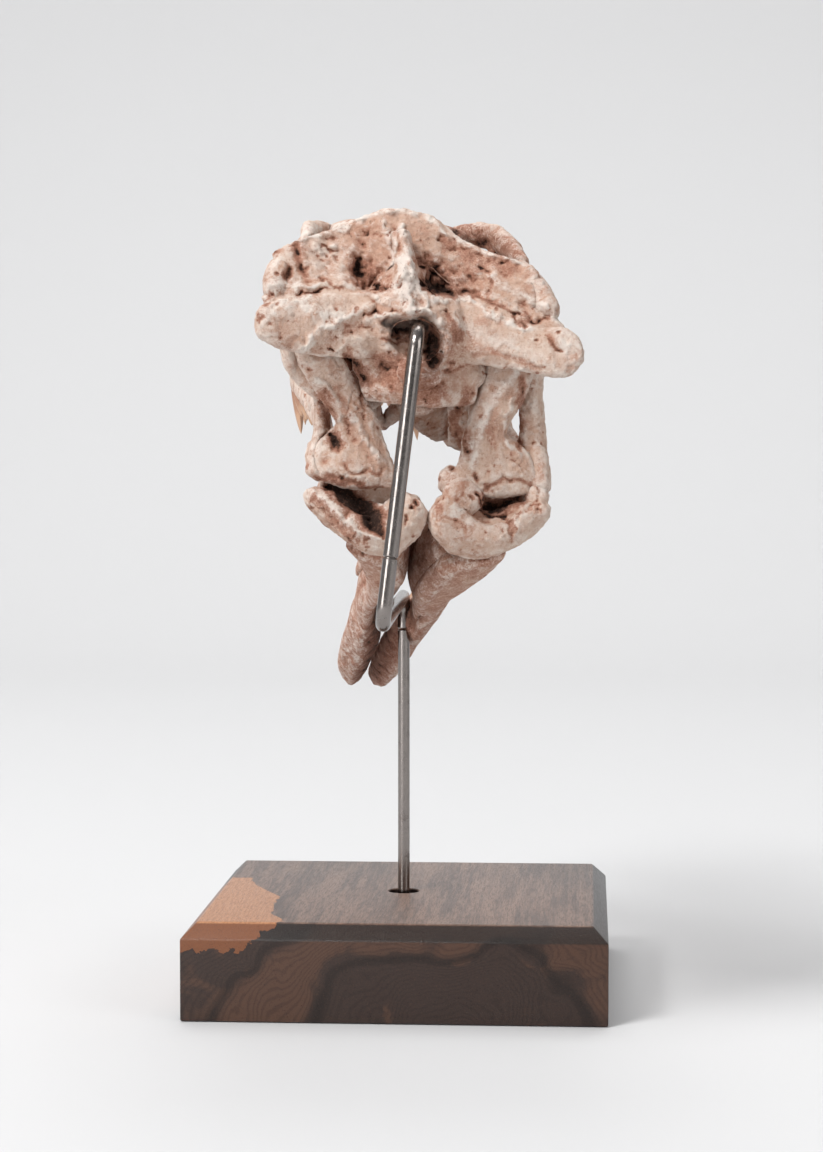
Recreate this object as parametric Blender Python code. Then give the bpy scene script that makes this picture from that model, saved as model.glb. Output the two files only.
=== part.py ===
"""Skull of a small dromaeosaurid dinosaur on a bent steel rod and a hardwood block.

Metres, +Z up. The origin is the centre of the block's underside, and the block
lies square to the axes. The skull looks away along +Y, turned a little to -X.

The bones are drawn in two frames of their own, in millimetres: x to the right,
y towards the snout, z up. The skull's frame starts at the occipital condyle,
and the jaw's frame at the jaw joint. An empty places each frame in the world.
"""

import math

import bmesh
import bpy
import numpy as np
from mathutils import Matrix, Vector

MM = 0.001
GAP = 0.3 * MM  # clearance between two pieces that touch

# The stand
BLOCK_WIDE = 109.0 * MM
BLOCK_TALL = 25.0 * MM
BLOCK_BEVEL = 4.0 * MM
SOCKET_RADIUS = 4.2 * MM
SOCKET_DEEP = 1.2 * MM
POST_RADIUS = 1.6 * MM
ROD_RADIUS = 1.75 * MM
POST_AT = Vector((-0.9, 0.0, 0.0)) * MM
ARM_HEIGHT = 105.8 * MM
BEND_RADIUS = 4.5 * MM
NEAR_BEND = Vector((2.2, -119.5, 105.8)) * MM
SLEEVE_JOINT = 0.23  # share of the upright's length where its two halves screw together
TOP_BEND = Vector((10.2, -118.0, 173.2)) * MM
STUB_AIM = Vector((-0.05, 1.0, 0.0)).normalized()
STUB_LONG = 17.0 * MM
DRILL_START = 10.0 * MM  # how far behind the bend the drill starts
DRILL_SPARE = 0.6 * MM
DRILL_RADIUS = 2.15 * MM

# Where the bones are
SKULL_AT = Vector((9.7, -110.0, 162.8)) * MM
SKULL_TURN = (3.0, 3.6, 11.0)  # nose up, right side down, nose to the left, in degrees
JAW_AT = Vector((11.8, -102.0, 136.3)) * MM
JAW_TURN = (-17.6, 3.6, 9.4)
CRUSH = 0.14  # sideways shear from burial: the top of the skull leans to the left
CRUSH_LEVEL = 9.0  # height in mm that the shear leaves in place
# The left cheek is pressed in: by what share, and the y where that starts, is full, stays full and ends
SKULL_SQUEEZE = (0.24, 8.0, 30.0, 84.0, 124.0)
JAW_SQUEEZE = (0.30, 6.0, 26.0, 70.0, 104.0)
BROW_LIFT = 2.4  # how much higher the right brow stands than the left, in millimetres
JAW_SHOVE = 2.9  # how far the stand's arm, which passes between the jaw's halves, holds the right one off

# Teeth, in millimetres
FIRST_UPPER_TOOTH = 175.0  # y of the foremost tooth of the maxilla
TOOTH_PITCH = 9.2
TOOTH_WIDE = 2.1
TOOTH_RAKE = 0.22  # how far a crown's tip leans back, as a share of its length
# Crown lengths of the maxilla from the front back, on the right (1) and the left (-1)
UPPER_CROWNS = {
    1: (3.2, 3.4, 5.0, 8.8, 9.6, 3.4, 3.2, 3.0, 2.8),
    -1: (6.0, 7.6, 8.6, 9.4, 9.6, 9.2, 3.4, 3.2, 3.0),
}
LEFT_SPREAD = 2.4  # how far burial has pushed the left tooth row out
LOWER_TEETH = 10
FIRST_LOWER_TOOTH = 190.0
LOWER_PITCH = 8.2
TOOTH_ROOT = 2.6

LEAST_KEPT = 0.4  # no fitting cut leaves less than this share of a bone
KEPT_TRIANGLES = 0.70  # share left on each bone once its seams are thinned out

UP = (0.0, 0.0, 1.0)
ALONG = (0.0, 1.0, 0.0)
ACROSS = (1.0, 0.0, 0.0)

BONE = "bone_pink_cream"
BONE_WARM = "bone_warm_tan"


# --- Scene and materials ---------------------------------------------------


def clear_scene():
    for obj in list(bpy.data.objects):
        bpy.data.objects.remove(obj)


def material(name, colour, roughness, metallic=0.0):
    """A Principled material, made once and then found again by its name."""
    found = bpy.data.materials.get(name)
    if found:
        return found
    made = bpy.data.materials.new(name)
    made.use_nodes = True
    made.diffuse_color = (*colour, 1.0)
    shader = made.node_tree.nodes["Principled BSDF"]
    shader.inputs["Base Color"].default_value = (*colour, 1.0)
    shader.inputs["Roughness"].default_value = roughness
    shader.inputs["Metallic"].default_value = metallic
    return made


def finishes():
    return {
        BONE: material(BONE, (0.60, 0.45, 0.37), 0.8),
        BONE_WARM: material(BONE_WARM, (0.52, 0.36, 0.27), 0.75),
        "steel": material("steel", (0.42, 0.41, 0.40), 0.35, 1.0),
        "wood": material("wood", (0.09, 0.05, 0.035), 0.45),
    }


def frame_empty(name, at, turn):
    """The frame that a group of bones is drawn in: turn is pitch, roll and yaw in degrees."""
    pitch, roll, yaw = (math.radians(angle) for angle in turn)
    empty = bpy.data.objects.new(name, None)
    spin = Matrix.Rotation(yaw, 3, "Z") @ Matrix.Rotation(pitch, 3, "X") @ Matrix.Rotation(roll, 3, "Y")
    empty.location = at
    empty.rotation_euler = spin.to_euler()
    bpy.context.scene.collection.objects.link(empty)
    return empty


# --- Meshes ------------------------------------------------------------------


def add_object(name, shape, finish, parent=None):
    """Turn a bmesh into an object with smooth shading and one material."""
    bmesh.ops.recalc_face_normals(shape, faces=shape.faces)
    mesh = bpy.data.meshes.new(name)
    shape.to_mesh(mesh)
    shape.free()
    mesh.materials.append(finish)
    mesh.shade_smooth()
    mesh.set_sharp_from_angle(angle=math.radians(40))
    obj = bpy.data.objects.new(name, mesh)
    obj.parent = parent
    bpy.context.scene.collection.objects.link(obj)
    return obj


def smooth_path(stations, steps):
    """Catmull-Rom curve through rows of numbers, with steps rows for each span."""
    rows = np.array(stations, dtype=float)
    first = 2 * rows[0] - rows[1]
    last = 2 * rows[-1] - rows[-2]
    rows = np.vstack([first, rows, last])
    curve = []
    for i in range(1, len(rows) - 2):
        before, start, end, after = rows[i - 1 : i + 3]
        for t in np.linspace(0.0, 1.0, steps, endpoint=False):
            curve.append(
                start
                + 0.5 * t * (end - before)
                + t * t * (before - 2.5 * start + 2.0 * end - 0.5 * after)
                + t**3 * (1.5 * start - 1.5 * end + 0.5 * after - 0.5 * before)
            )
    curve.append(rows[-2])
    return curve


def ring_points(centre, tangent, lean, wide, thick, sides):
    """A flattened ring round centre: wide along lean, thick across it."""
    tangent = tangent.normalized()
    across = (lean - lean.dot(tangent) * tangent).normalized()
    other = tangent.cross(across)
    points = []
    for i in range(sides):
        angle = 2 * math.pi * (i + 0.5) / sides
        points.append(centre + across * wide * math.cos(angle) + other * thick * math.sin(angle))
    return points


def loft(stations, sides=8, steps=1, tip=0.5):
    """A closed bar through stations (x, y, z, wide, thick, lean), in millimetres.

    Each end is drawn out by tip times its thickness to a rounded point.
    """
    rows = [(*station[:5], *station[5]) for station in stations]
    path = smooth_path(rows, steps)
    centres = [Vector(row[:3]) for row in path]
    shape = bmesh.new()
    rings = []
    for i, row in enumerate(path):
        tangent = centres[min(i + 1, len(path) - 1)] - centres[max(i - 1, 0)]
        points = ring_points(centres[i], tangent, Vector(row[5:8]), row[3], row[4], sides)
        rings.append([shape.verts.new(point) for point in points])
    for lower, upper in zip(rings, rings[1:]):
        for i in range(sides):
            j = (i + 1) % sides
            shape.faces.new((lower[i], lower[j], upper[j], upper[i]))
    ends = (
        (rings[0], centres[0] - centres[1], path[0]),
        (rings[-1], centres[-1] - centres[-2], path[-1]),
    )
    for ring, outward, row in ends:
        pole = shape.verts.new(Vector(row[:3]) + outward.normalized() * row[4] * tip)
        for i in range(sides):
            shape.faces.new((ring[i], ring[(i + 1) % sides], pole))
    return shape


def lump(at, radii, turn=0.0, detail=2):
    """A rounded lump with its own three half sizes, turned about z in degrees."""
    shape = bmesh.new()
    bmesh.ops.create_icosphere(shape, subdivisions=detail, radius=1.0)
    place = Matrix.Translation(at) @ Matrix.Rotation(math.radians(turn), 4, "Z")
    bmesh.ops.transform(shape, matrix=place @ Matrix.Diagonal((*radii, 1.0)), verts=shape.verts)
    return shape


def tooth(x, y, z, length, wide, rake):
    """A flat pointed crown below (x, y, z) that curves back; a negative length points up."""
    sides = 6
    shape = bmesh.new()
    rings = []
    for share, size in ((-TOOTH_ROOT / abs(length), 1.0), (0.45, 0.8)):
        back = rake * length * share**2
        centre = Vector((x, y - abs(back), z - share * length))
        ring = []
        for i in range(sides):
            angle = 2 * math.pi * i / sides
            ring.append(centre + Vector((0.55 * math.sin(angle), math.cos(angle), 0)) * wide * size)
        rings.append([shape.verts.new(point) for point in ring])
    tip = shape.verts.new((x, y - abs(rake * length), z - length))
    shape.faces.new(rings[0])
    for i in range(sides):
        j = (i + 1) % sides
        shape.faces.new((rings[0][i], rings[0][j], rings[1][j], rings[1][i]))
        shape.faces.new((rings[1][i], rings[1][j], tip))
    return shape


def squeeze_at(y, squeeze):
    """How much of its distance from the midline a left-hand point at y keeps."""
    share, start, full_from, full_to, end = squeeze
    return 1.0 - share * float(np.interp(y, (start, full_from, full_to, end), (0.0, 1.0, 1.0, 0.0)))


def to_metres(shape, squeeze, shear):
    """Bring a bone from millimetres to metres, with the squeeze and shear of its burial."""
    for vert in shape.verts:
        if vert.co.x < 0:
            vert.co.x *= squeeze_at(vert.co.y, squeeze)
        vert.co.x -= shear * (vert.co.z - CRUSH_LEVEL)
        vert.co *= MM


def volume_of(mesh):
    shape = bmesh.new()
    shape.from_mesh(mesh)
    volume = shape.calc_volume()
    shape.free()
    return volume


def combine(target, tool, operation):
    """Apply one Boolean of tool to target, and drop the tool.

    EXACT can lose a body where two curved skins nearly coincide. The volumes show it,
    and MANIFOLD then makes the same join or cut.
    """
    was, other = volume_of(target.data), volume_of(tool.data)
    least, most = max(was - other, LEAST_KEPT * was), was
    if operation == "UNION":
        least, most = max(was, other), was + other
    step = target.modifiers.new(operation.title(), "BOOLEAN")
    step.operation = operation
    step.object = tool
    for solver in ("EXACT", "MANIFOLD"):
        step.solver = solver
        bpy.context.view_layer.update()
        graph = bpy.context.evaluated_depsgraph_get()
        mesh = bpy.data.meshes.new_from_object(target.evaluated_get(graph))
        if least * 0.999 <= volume_of(mesh) <= most * 1.001:
            break
    target.modifiers.clear()
    target.data = mesh
    bpy.data.objects.remove(tool)


def swollen(obj, by):
    """A copy of obj pushed outwards along its normals, to cut clearance with."""
    copy = obj.copy()
    copy.data = obj.data.copy()
    bpy.context.scene.collection.objects.link(copy)
    shape = bmesh.new()
    shape.from_mesh(copy.data)
    bmesh.ops.remove_doubles(shape, verts=shape.verts, dist=0.02 * MM)
    shape.normal_update()
    moves = [(vert, vert.normal * by) for vert in shape.verts]
    for vert, move in moves:
        vert.co += move
    shape.to_mesh(copy.data)
    shape.free()
    return copy


def box_of(obj):
    corners = [obj.matrix_world @ Vector(corner) for corner in obj.bound_box]
    low = [min(corner[i] for corner in corners) for i in range(3)]
    high = [max(corner[i] for corner in corners) for i in range(3)]
    return low, high


def near(one, other):
    (low, high), (other_low, other_high) = box_of(one), box_of(other)
    return all(low[i] < other_high[i] + GAP and other_low[i] < high[i] + GAP for i in range(3))


def islands(shape):
    """The separate bodies of a bmesh, as lists of faces."""
    left = set(shape.faces)
    while left:
        queue = [left.pop()]
        body = list(queue)
        while queue:
            for edge in queue.pop().edges:
                for face in edge.link_faces:
                    if face in left:
                        left.remove(face)
                        queue.append(face)
                        body.append(face)
        yield body


def tidy(obj):
    """Keep the largest body, and dissolve the slivers and flat seams that Booleans leave."""
    shape = bmesh.new()
    shape.from_mesh(obj.data)
    bmesh.ops.remove_doubles(shape, verts=shape.verts, dist=0.02 * MM)
    bodies = sorted(islands(shape), key=lambda body: sum(face.calc_area() for face in body))
    for body in bodies[:-1]:
        bmesh.ops.delete(shape, geom=body, context="FACES")
    loose = [vert for vert in shape.verts if not vert.link_faces]
    bmesh.ops.delete(shape, geom=loose, context="VERTS")
    bmesh.ops.dissolve_degenerate(shape, edges=shape.edges, dist=0.05 * MM)
    bmesh.ops.triangulate(shape, faces=shape.faces)
    shape.to_mesh(obj.data)
    shape.free()
    thin = obj.modifiers.new("Thin out", "DECIMATE")
    thin.ratio = KEPT_TRIANGLES
    obj.data.shade_smooth()
    obj.data.set_sharp_from_angle(angle=math.radians(40))


# --- Bones --------------------------------------------------------------------


class Bones:
    """Adds bones to one frame, each cut back where a bone that came before it already is."""

    def __init__(self, parent, squeeze, shear, finish):
        self.parent = parent
        self.squeeze = squeeze
        self.shear = shear
        self.finish = finish
        self.made = []

    def piece(self, name, shape):
        to_metres(shape, self.squeeze, self.shear)
        return add_object(name, shape, self.finish, self.parent)

    def add(self, name, shapes, cuts=()):
        """Join shapes to one bone, take the cuts out of it, and fit it to its neighbours."""
        bone = self.piece(name, shapes[0])
        for i, shape in enumerate(shapes[1:]):
            combine(bone, self.piece(f"{name}_more{i}", shape), "UNION")
        for i, shape in enumerate(cuts):
            combine(bone, self.piece(f"{name}_cut{i}", shape), "DIFFERENCE")
        bpy.context.view_layer.update()
        for other in self.made:
            if near(bone, other):
                combine(bone, swollen(other, GAP), "DIFFERENCE")
        tidy(bone)
        self.made.append(bone)
        return bone


def side_name(name, side):
    return f"{name}_{'right' if side > 0 else 'left'}"


def on_side(stations, side):
    """The stations of a right-hand bar, mirrored for the left when side is -1."""
    return [
        (side * x, y, z, wide, thick, (side * lean[0], lean[1], lean[2]))
        for x, y, z, wide, thick, lean in stations
    ]


def bar(stations, side=1, **options):
    return loft(on_side(stations, side), **options)


def braincase(bones):
    """Braincase, occipital plate and paroccipital wings, which are fused in an adult."""
    core = bar(
        [
            (0, 2.4, 6.0, 10.5, 12.0, UP),
            (0, 8, 9.0, 16.5, 13.0, UP),
            (0, 20, 11.0, 18.0, 12.5, UP),
            (0, 36, 14.0, 16.0, 11.0, UP),
            (0, 52, 20.0, 11.0, 7.0, UP),
        ],
        sides=12,
        steps=2,
    )
    right_wing = bar(
        [
            (5, 5, 11.5, 8.0, 3.6, UP),
            (13, 2.8, 9.8, 7.0, 3.2, (0.2, 0, 1)),
            (23, 0.6, 8.4, 5.4, 2.8, (0.2, 0, 1)),
            (31, -1.8, 7.6, 5.8, 2.5, (0.1, 0, 1)),
            (34.4, -2.8, 8.2, 5.4, 2.2, UP),
            (36.8, -3.4, 8.6, 3.0, 1.6, UP),
        ],
        steps=2,
    )
    left_wing = bar(
        [
            (5, 5, 12.0, 8.6, 3.6, UP),
            (13, 2.8, 10.8, 7.6, 3.2, UP),
            (24, 1.0, 9.8, 7.0, 2.9, UP),
            (33, -1.2, 9.6, 5.6, 2.5, UP),
            (37.2, -2.2, 10.2, 3.4, 2.0, UP),
        ],
        side=-1,
        steps=2,
    )
    ridge = bar(
        [
            (-1.5, 0.6, 15.0, 5.0, 2.4, ACROSS),
            (-1.8, 1.4, 20.0, 3.6, 2.6, ACROSS),
            (-2.0, 3.6, 26.0, 2.2, 2.8, ACROSS),
            (-2.2, 7.6, 32.0, 2.6, 2.6, ACROSS),
        ],
        steps=2,
    )
    floor = bar(
        [
            (-12.4, 8.0, -2.6, 4.0, 3.4, UP),
            (-5.0, 4.6, -2.4, 4.6, 3.6, UP),
            (4.0, 4.6, -2.0, 4.8, 3.6, UP),
            (11.4, 8.0, -1.6, 4.6, 3.4, UP),
        ],
        steps=2,
    )
    condyle = lump((-1.0, -0.6, 0.4), (5.0, 3.6, 3.4))
    keel = bar(
        [
            (0, 14, -6.0, 5.0, 3.6, ACROSS),
            (0, 28, -7.4, 4.0, 3.2, ACROSS),
            (0, 44, -5.0, 2.4, 2.8, ACROSS),
            (0, 62, -3.0, 1.5, 1.8, ACROSS),
        ]
    )
    feet = [
        bar(
            [
                (2, 26, -7.4, 2.4, 2.2, ALONG),
                (6, 30, -10.6, 2.4, 1.9, ALONG),
                (9, 32, -13.0, 2.2, 1.5, ALONG),
            ],
            side,
        )
        for side in (-1, 1)
    ]
    walls = [
        bar([(14.6, 14, 5.0, 5.6, 2.2, ACROSS), (13.4, 16, -3.0, 5.2, 2.0, ACROSS), *foot], side)
        for side, foot in (
            (1, [(11.8, 18, -11.0, 4.6, 1.6, ACROSS), (10.2, 20, -16.6, 2.6, 1.2, ACROSS)]),
            (-1, [(11.6, 17, -8.0, 3.4, 1.4, ACROSS)]),
        )
    ]
    flare = bar(
        [
            (2.6, 22, -6.0, 5.4, 3.0, ACROSS),
            (4.6, 25, -10.5, 4.6, 2.2, ACROSS),
            (7.4, 27, -15.0, 2.6, 1.4, ACROSS),
        ]
    )
    foramen = lump((-1.2, -0.5, 8.4), (6.8, 4.6, 5.8))
    pits = [lump((-10.8, 0.2, 24.0), (4.8, 6.4, 4.6)), lump((6.8, 0.0, 21.6), (5.6, 6.4, 3.8))]
    solids = [core, right_wing, left_wing, ridge, floor, condyle, keel, flare, *walls, *feet]
    return bones.add("braincase", solids, [foramen, *pits])


def quadrate(bones, side):
    out = 0.0 if side > 0 else 1.6  # the left one leans out further at its head
    shaft = bar(
        [
            (24.5 + out, 8.5, 15.0, 3.0, 2.2, ACROSS),
            (23.2 + out, 7.5, 8.0, 4.2, 2.4, ACROSS),
            (21.8 + out, 7.0, 2.5, 5.2, 2.6, ACROSS),
            (18.4 + 0.6 * out, 7.8, -5.0, 4.8, 2.8, ACROSS),
            (15.4, 9.0, -12.0, 4.6, 3.0, ACROSS),
            (16.4, 9.4, -18.0, 8.6, 3.4, ACROSS),
            (17.0, 9.0, -22.4, 9.8, 3.8, ACROSS),
            (17.2, 9.0, -26.0, 9.0, 3.0, ACROSS),
        ],
        side,
        sides=10,
        steps=2,
    )
    wing = bar(
        [
            (15.5, 9, -6.0, 6.5, 1.6, UP),
            (12.6, 18, -6.5, 6.0, 1.1, UP),
            (10.4, 28, -8.0, 4.0, 0.9, UP),
        ],
        side,
    )
    shapes = [shaft, wing]
    if side > 0:
        shapes.append(lump((6.4, 10.0, -24.4), (3.6, 3.0, 3.8), detail=1))
    return bones.add(side_name("quadrate", side), shapes)


def premaxilla(bones, side):
    body = bar(
        [
            (6.6, 181, -4.6, 7.0, 2.6, UP),
            (6.2, 189, -4.2, 7.6, 3.6, UP),
            (4.9, 197, -4.8, 6.4, 3.6, UP),
            (3.0, 203, -6.4, 3.8, 2.2, UP),
        ],
        side,
    )
    nasal_bar = bar(
        [
            (2.4, 198, 0.0, 1.9, 2.2, ALONG),
            (2.1, 193, 6.6, 1.8, 1.9, UP),
            (2.1, 181, 9.6, 1.6, 1.8, UP),
            (2.1, 168, 11.6, 1.3, 1.6, UP),
        ],
        side,
    )
    crowns = [
        tooth(side * (7.6 - 0.12 * i**1.5), 184 + 4.6 * i, -9.6 + 0.1 * i, 7.5, 1.7, TOOTH_RAKE)
        for i in range(4)
    ]
    return bones.add(side_name("premaxilla", side), [body, nasal_bar, *crowns])


def maxilla(bones, side):
    out = 0.0 if side > 0 else LEFT_SPREAD
    body = bar(
        [
            (22.4, 64, -17.0, 2.4, 1.6, UP),
            (20.2 + 0.3 * out, 86, -14.4, 3.8, 2.2, UP),
            (17.8 + 0.7 * out, 108, -10.8, 4.8, 2.4, UP),
            (15.6 + out, 128, -7.0, 6.6, 2.2, UP),
            (13.6 + 0.8 * out, 146, -1.6, 11.4, 2.0, (-0.12 - 0.06 * out, 0, 1)),
            (10.9 + 0.4 * out, 164, -1.6, 11.0, 2.0, (-0.12 - 0.03 * out, 0, 1)),
            (8.8, 176, -4.0, 8.0, 2.0, (-0.08, 0, 1)),
            (7.8, 182, -5.0, 5.6, 1.7, UP),
        ],
        side,
        sides=10,
    )
    upper_bar = bar(
        [
            (11.4, 150, 8.4, 3.6, 1.5, (-0.3, 0, 1)),
            (12.6, 132, 11.4, 3.6, 1.5, (-0.3, 0, 1)),
            (14.0, 115, 16.2, 3.2, 1.4, (-0.3, 0, 1)),
            (15.2, 104, 19.8, 2.4, 1.3, (-0.3, 0, 1)),
        ],
        side,
    )
    window = lump((side * 14, 139, 0.6), (8, 4.4, 3.2))
    crowns = []
    for i, length in enumerate(UPPER_CROWNS[side]):
        y = FIRST_UPPER_TOOTH - TOOTH_PITCH * i
        x = np.interp(y, (90, 108, 128, 146, 164, 176), (19.8, 17.4, 15.2, 13.2, 10.7, 8.8))
        x += out * np.interp(y, (90, 108, 128, 146, 164, 176), (0.4, 0.8, 1.1, 1.3, 0.7, 0.0))
        z = np.interp(y, (90, 108, 128, 146, 164, 176), (-17.0, -14.8, -13.0, -12.4, -12.0, -11.4))
        crowns.append(tooth(side * x, y, z, length, TOOTH_WIDE, TOOTH_RAKE))
    return bones.add(side_name("maxilla", side), [body, upper_bar, *crowns], [window])


def nasal(bones, side):
    strip = bar(
        [
            (2.9, 180, 12.0, 2.5, 1.2, (1, 0, -0.2)),
            (4.4, 165, 12.6, 4.1, 1.4, (1, 0, -0.3)),
            (5.2, 148, 13.6, 5.0, 1.5, (1, 0, -0.3)),
            (5.9, 130, 16.8, 5.6, 1.5, (1, 0, -0.25)),
            (6.6, 110, 22.0, 6.3, 1.5, (1, 0, -0.2)),
            (6.6, 96, 26.4, 6.3, 1.5, (1, 0, -0.15)),
            (5.0, 86, 29.2, 4.7, 1.4, (1, 0, -0.1)),
        ],
        side,
    )
    return bones.add(side_name("nasal", side), [strip])


def lacrimal(bones, side):
    pillar = bar(
        [
            (17.2, 91, 24.6, 4.6, 2.2, ALONG),
            (19.0, 90, 17.0, 2.4, 1.9, ALONG),
            (21.2, 88, 4.0, 2.2, 1.8, ALONG),
            (23.2, 86, -8.0, 3.4, 1.9, ALONG),
            (23.6, 85, -12.0, 5.0, 1.9, ALONG),
        ],
        side,
    )
    brow = bar(
        [
            (15.4, 107, 19.4, 2.2, 1.7, (0.3, 0, 1)),
            (16.4, 98, 23.4, 2.6, 2.2, (0.3, 0, 1)),
            (17.4, 89, 26.8, 2.6, 3.0, (0.3, 0, 1)),
            (16.6, 80, 29.6, 2.0, 2.4, (0.3, 0, 1)),
        ],
        side,
    )
    return bones.add(side_name("lacrimal", side), [pillar, brow])


def frontal(bones, side):
    tilt = 0.05 * BROW_LIFT - 0.08 if side > 0 else -0.08
    plate = bar(
        [
            (3.4, 90, 28.6, 3.1, 1.5, (1, 0, -0.05)),
            (6.6, 79, 31.0, 6.3, 2.0, (1, 0, -0.05)),
            (8.2, 66, 32.8, 7.9, 2.4, (1, 0, tilt)),
            (10.2, 54, 33.6, 9.9, 2.6, (1, 0, tilt)),
            (10.2, 46, 33.6, 9.9, 2.5, (1, 0, tilt)),
            (7.0, 40, 33.6, 6.7, 2.0, (1, 0, tilt)),
        ],
        side,
    )
    return bones.add(side_name("frontal", side), [plate])


def parietal(bones):
    """The roof between the temporal openings, and the nuchal crest across the back."""
    roof = bar(
        [
            (0, 42, 33.6, 8.5, 2.4, ACROSS),
            (0, 34, 34.2, 4.8, 2.8, ACROSS),
            (-0.5, 24, 34.4, 3.4, 3.0, ACROSS),
            (-1.0, 15, 34.0, 4.5, 3.0, ACROSS),
        ]
    )
    crest = bar(
        [
            (-30.5, 6.0, 21.0, 5.4, 1.6, (0, 0.35, 1)),
            (-25.0, 7.0, 22.6, 7.0, 1.8, (0, 0.40, 1)),
            (-18.0, 8.6, 24.4, 8.4, 1.9, (0, 0.50, 1)),
            (-11.0, 10.2, 26.4, 9.6, 2.0, (0, 0.55, 1)),
            (-3.4, 10.8, 28.6, 10.8, 2.3, (0, 0.55, 1)),
            (2.6, 10.6, 28.4, 10.6, 2.3, (0, 0.55, 1)),
            (9.2, 9.6, 25.0, 9.2, 2.0, (0, 0.55, 1)),
            (17.0, 8.0, 22.6, 8.2, 1.9, (0, 0.50, 1)),
            (24.0, 6.4, 21.2, 7.4, 1.8, (0, 0.40, 1)),
            (28.4, 5.2, 20.4, 5.6, 1.6, (0, 0.35, 1)),
        ],
        sides=10,
        steps=2,
    )
    return bones.add("parietal", [roof, crest])


def postorbital(bones, side):
    lift = BROW_LIFT if side > 0 else 0.0
    brow = bar(
        [
            (16.5, 52, 32.6 + 0.6 * lift, 2.2, 1.9, UP),
            (22.0, 48, 32.2 + lift, 2.8, 2.2, UP),
            (26.6, 42, 31.6 + lift, 3.4, 2.4, UP),
            (28.4, 33, 29.4 + 0.6 * lift, 2.6, 1.9, UP),
            (29.2, 26, 27.6, 1.8, 1.5, UP),
        ],
        side,
    )
    pillar = bar(
        [
            (26.4, 43, 29.0 + lift, 3.0, 2.0, ALONG),
            (26.8, 45, 19.0, 2.6, 1.7, ALONG),
            (26.8, 47, 8.0, 2.2, 1.5, ALONG),
            (26.4, 49, -2.0, 1.6, 1.2, ALONG),
        ],
        side,
    )
    return bones.add(side_name("postorbital", side), [brow, pillar])


def squamosal(bones, side):
    reach = 0.0 if side > 0 else 2.0  # the right corner is worn back
    beam = bar(
        [
            (31.0 + reach, 3.0, 16.2, 3.4, 2.4, UP),
            (30.0 + reach, 7.0, 20.0, 5.2, 3.0, (-0.35, 0, 1)),
            (29.0 + 0.5 * reach, 14, 23.0, 4.6, 2.6, (-0.3, 0, 1)),
            (28.8, 22, 25.0, 3.2, 2.0, UP),
            (28.8, 31, 26.4, 2.2, 1.6, UP),
        ],
        side,
        tip=0.9,
    )
    prong = bar(
        [
            (29.2 + reach, 12 - 2 * reach, 19.0, 2.8, 1.9, ALONG),
            (28.8 + 1.2 * reach, 12 - 2 * reach, 9.0, 2.4, 1.6, ALONG),
            (28.2 + 0.9 * reach, 12 - 1.8 * reach, 3.4 - 1.4 * reach, 2.0, 1.4, ALONG),
        ],
        side,
        tip=0.5 + reach,
    )
    return bones.add(side_name("squamosal", side), [beam, prong])


def jugal(bones, side):
    beam = bar(
        [
            (22.6, 97, -11.6, 1.8, 1.3, UP),
            (23.6, 82, -13.4, 3.6, 1.6, UP),
            (25.0, 64, -14.2, 4.2, 1.7, UP),
            (26.0, 48, -15.2, 4.8, 1.7, UP),
            (27.0, 32, -18.0, 3.0, 1.6, UP),
            (27.6, 20, -20.0, 2.2, 1.4, UP),
        ],
        side,
    )
    pillar = bar(
        [
            (26.0, 50, -13.0, 4.6, 1.7, ALONG),
            (26.2, 50, -4.0, 2.4, 1.5, ALONG),
            (26.6, 48.5, 4.0, 1.6, 1.2, ALONG),
        ],
        side,
    )
    return bones.add(side_name("jugal", side), [beam, pillar])


def quadratojugal(bones, side):
    slim = 0.0 if side > 0 else 3.0  # the left one is pressed inwards
    pillar = bar(
        [
            (27.4 - 0.3 * slim, 10.5, 2.0, 2.0, 1.3 + 0.4 * slim, ALONG),
            (27.4 - 1.2 * slim, 12.0, -5.0, 2.6, 1.4 + 0.2 * slim, ALONG),
            (27.6 - 1.1 * slim, 13.0, -12.0, 3.0, 1.5, ALONG),
            (27.8 - slim, 12.0, -18.0, 4.0, 2.3, ALONG),
            (27.2 - 0.4 * slim, 10.5, -24.8, 4.0, 2.7, ALONG),
        ],
        side,
        steps=2,
    )
    beam = bar(
        [
            (27.4, 12, -20.6, 3.2, 1.5, UP),
            (27.4, 24, -19.6, 2.4, 1.3, UP),
            (27.0, 34, -18.0, 1.6, 1.2, UP),
        ],
        side,
    )
    return bones.add(side_name("quadratojugal", side), [pillar, beam])


def pterygoid(bones, side):
    strip = bar(
        [
            (10.2, 27, -9.0, 4.6, 1.0, (0.2, 0, 1)),
            (9.4, 42, -9.6, 4.0, 1.1, (0.6, 0, 1)),
            (8.6, 58, -9.4, 4.4, 1.2, (1, 0, 0.6)),
            (5.0, 82, -7.4, 3.2, 1.0, (1, 0, 0.4)),
            (2.8, 112, -5.6, 1.8, 0.9, UP),
        ],
        side,
    )
    flange = bar(
        [
            (8.4, 58, -8.6, 4.6, 1.2, ALONG),
            (12.2, 62, -13.4, 3.8, 1.1, ALONG),
            (14.0, 64, -18.2, 2.2, 0.9, ALONG),
        ],
        side,
    )
    return bones.add(side_name("pterygoid", side), [strip, flange])


def ectopterygoid(bones, side):
    hook = bar(
        [
            (12.6, 66, -12.4, 2.0, 1.2, UP),
            (18.0, 71, -10.0, 2.2, 1.4, UP),
            (24.6, 70, -12.8, 2.0, 1.3, UP),
        ],
        side,
    )
    return bones.add(side_name("ectopterygoid", side), [hook])


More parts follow.
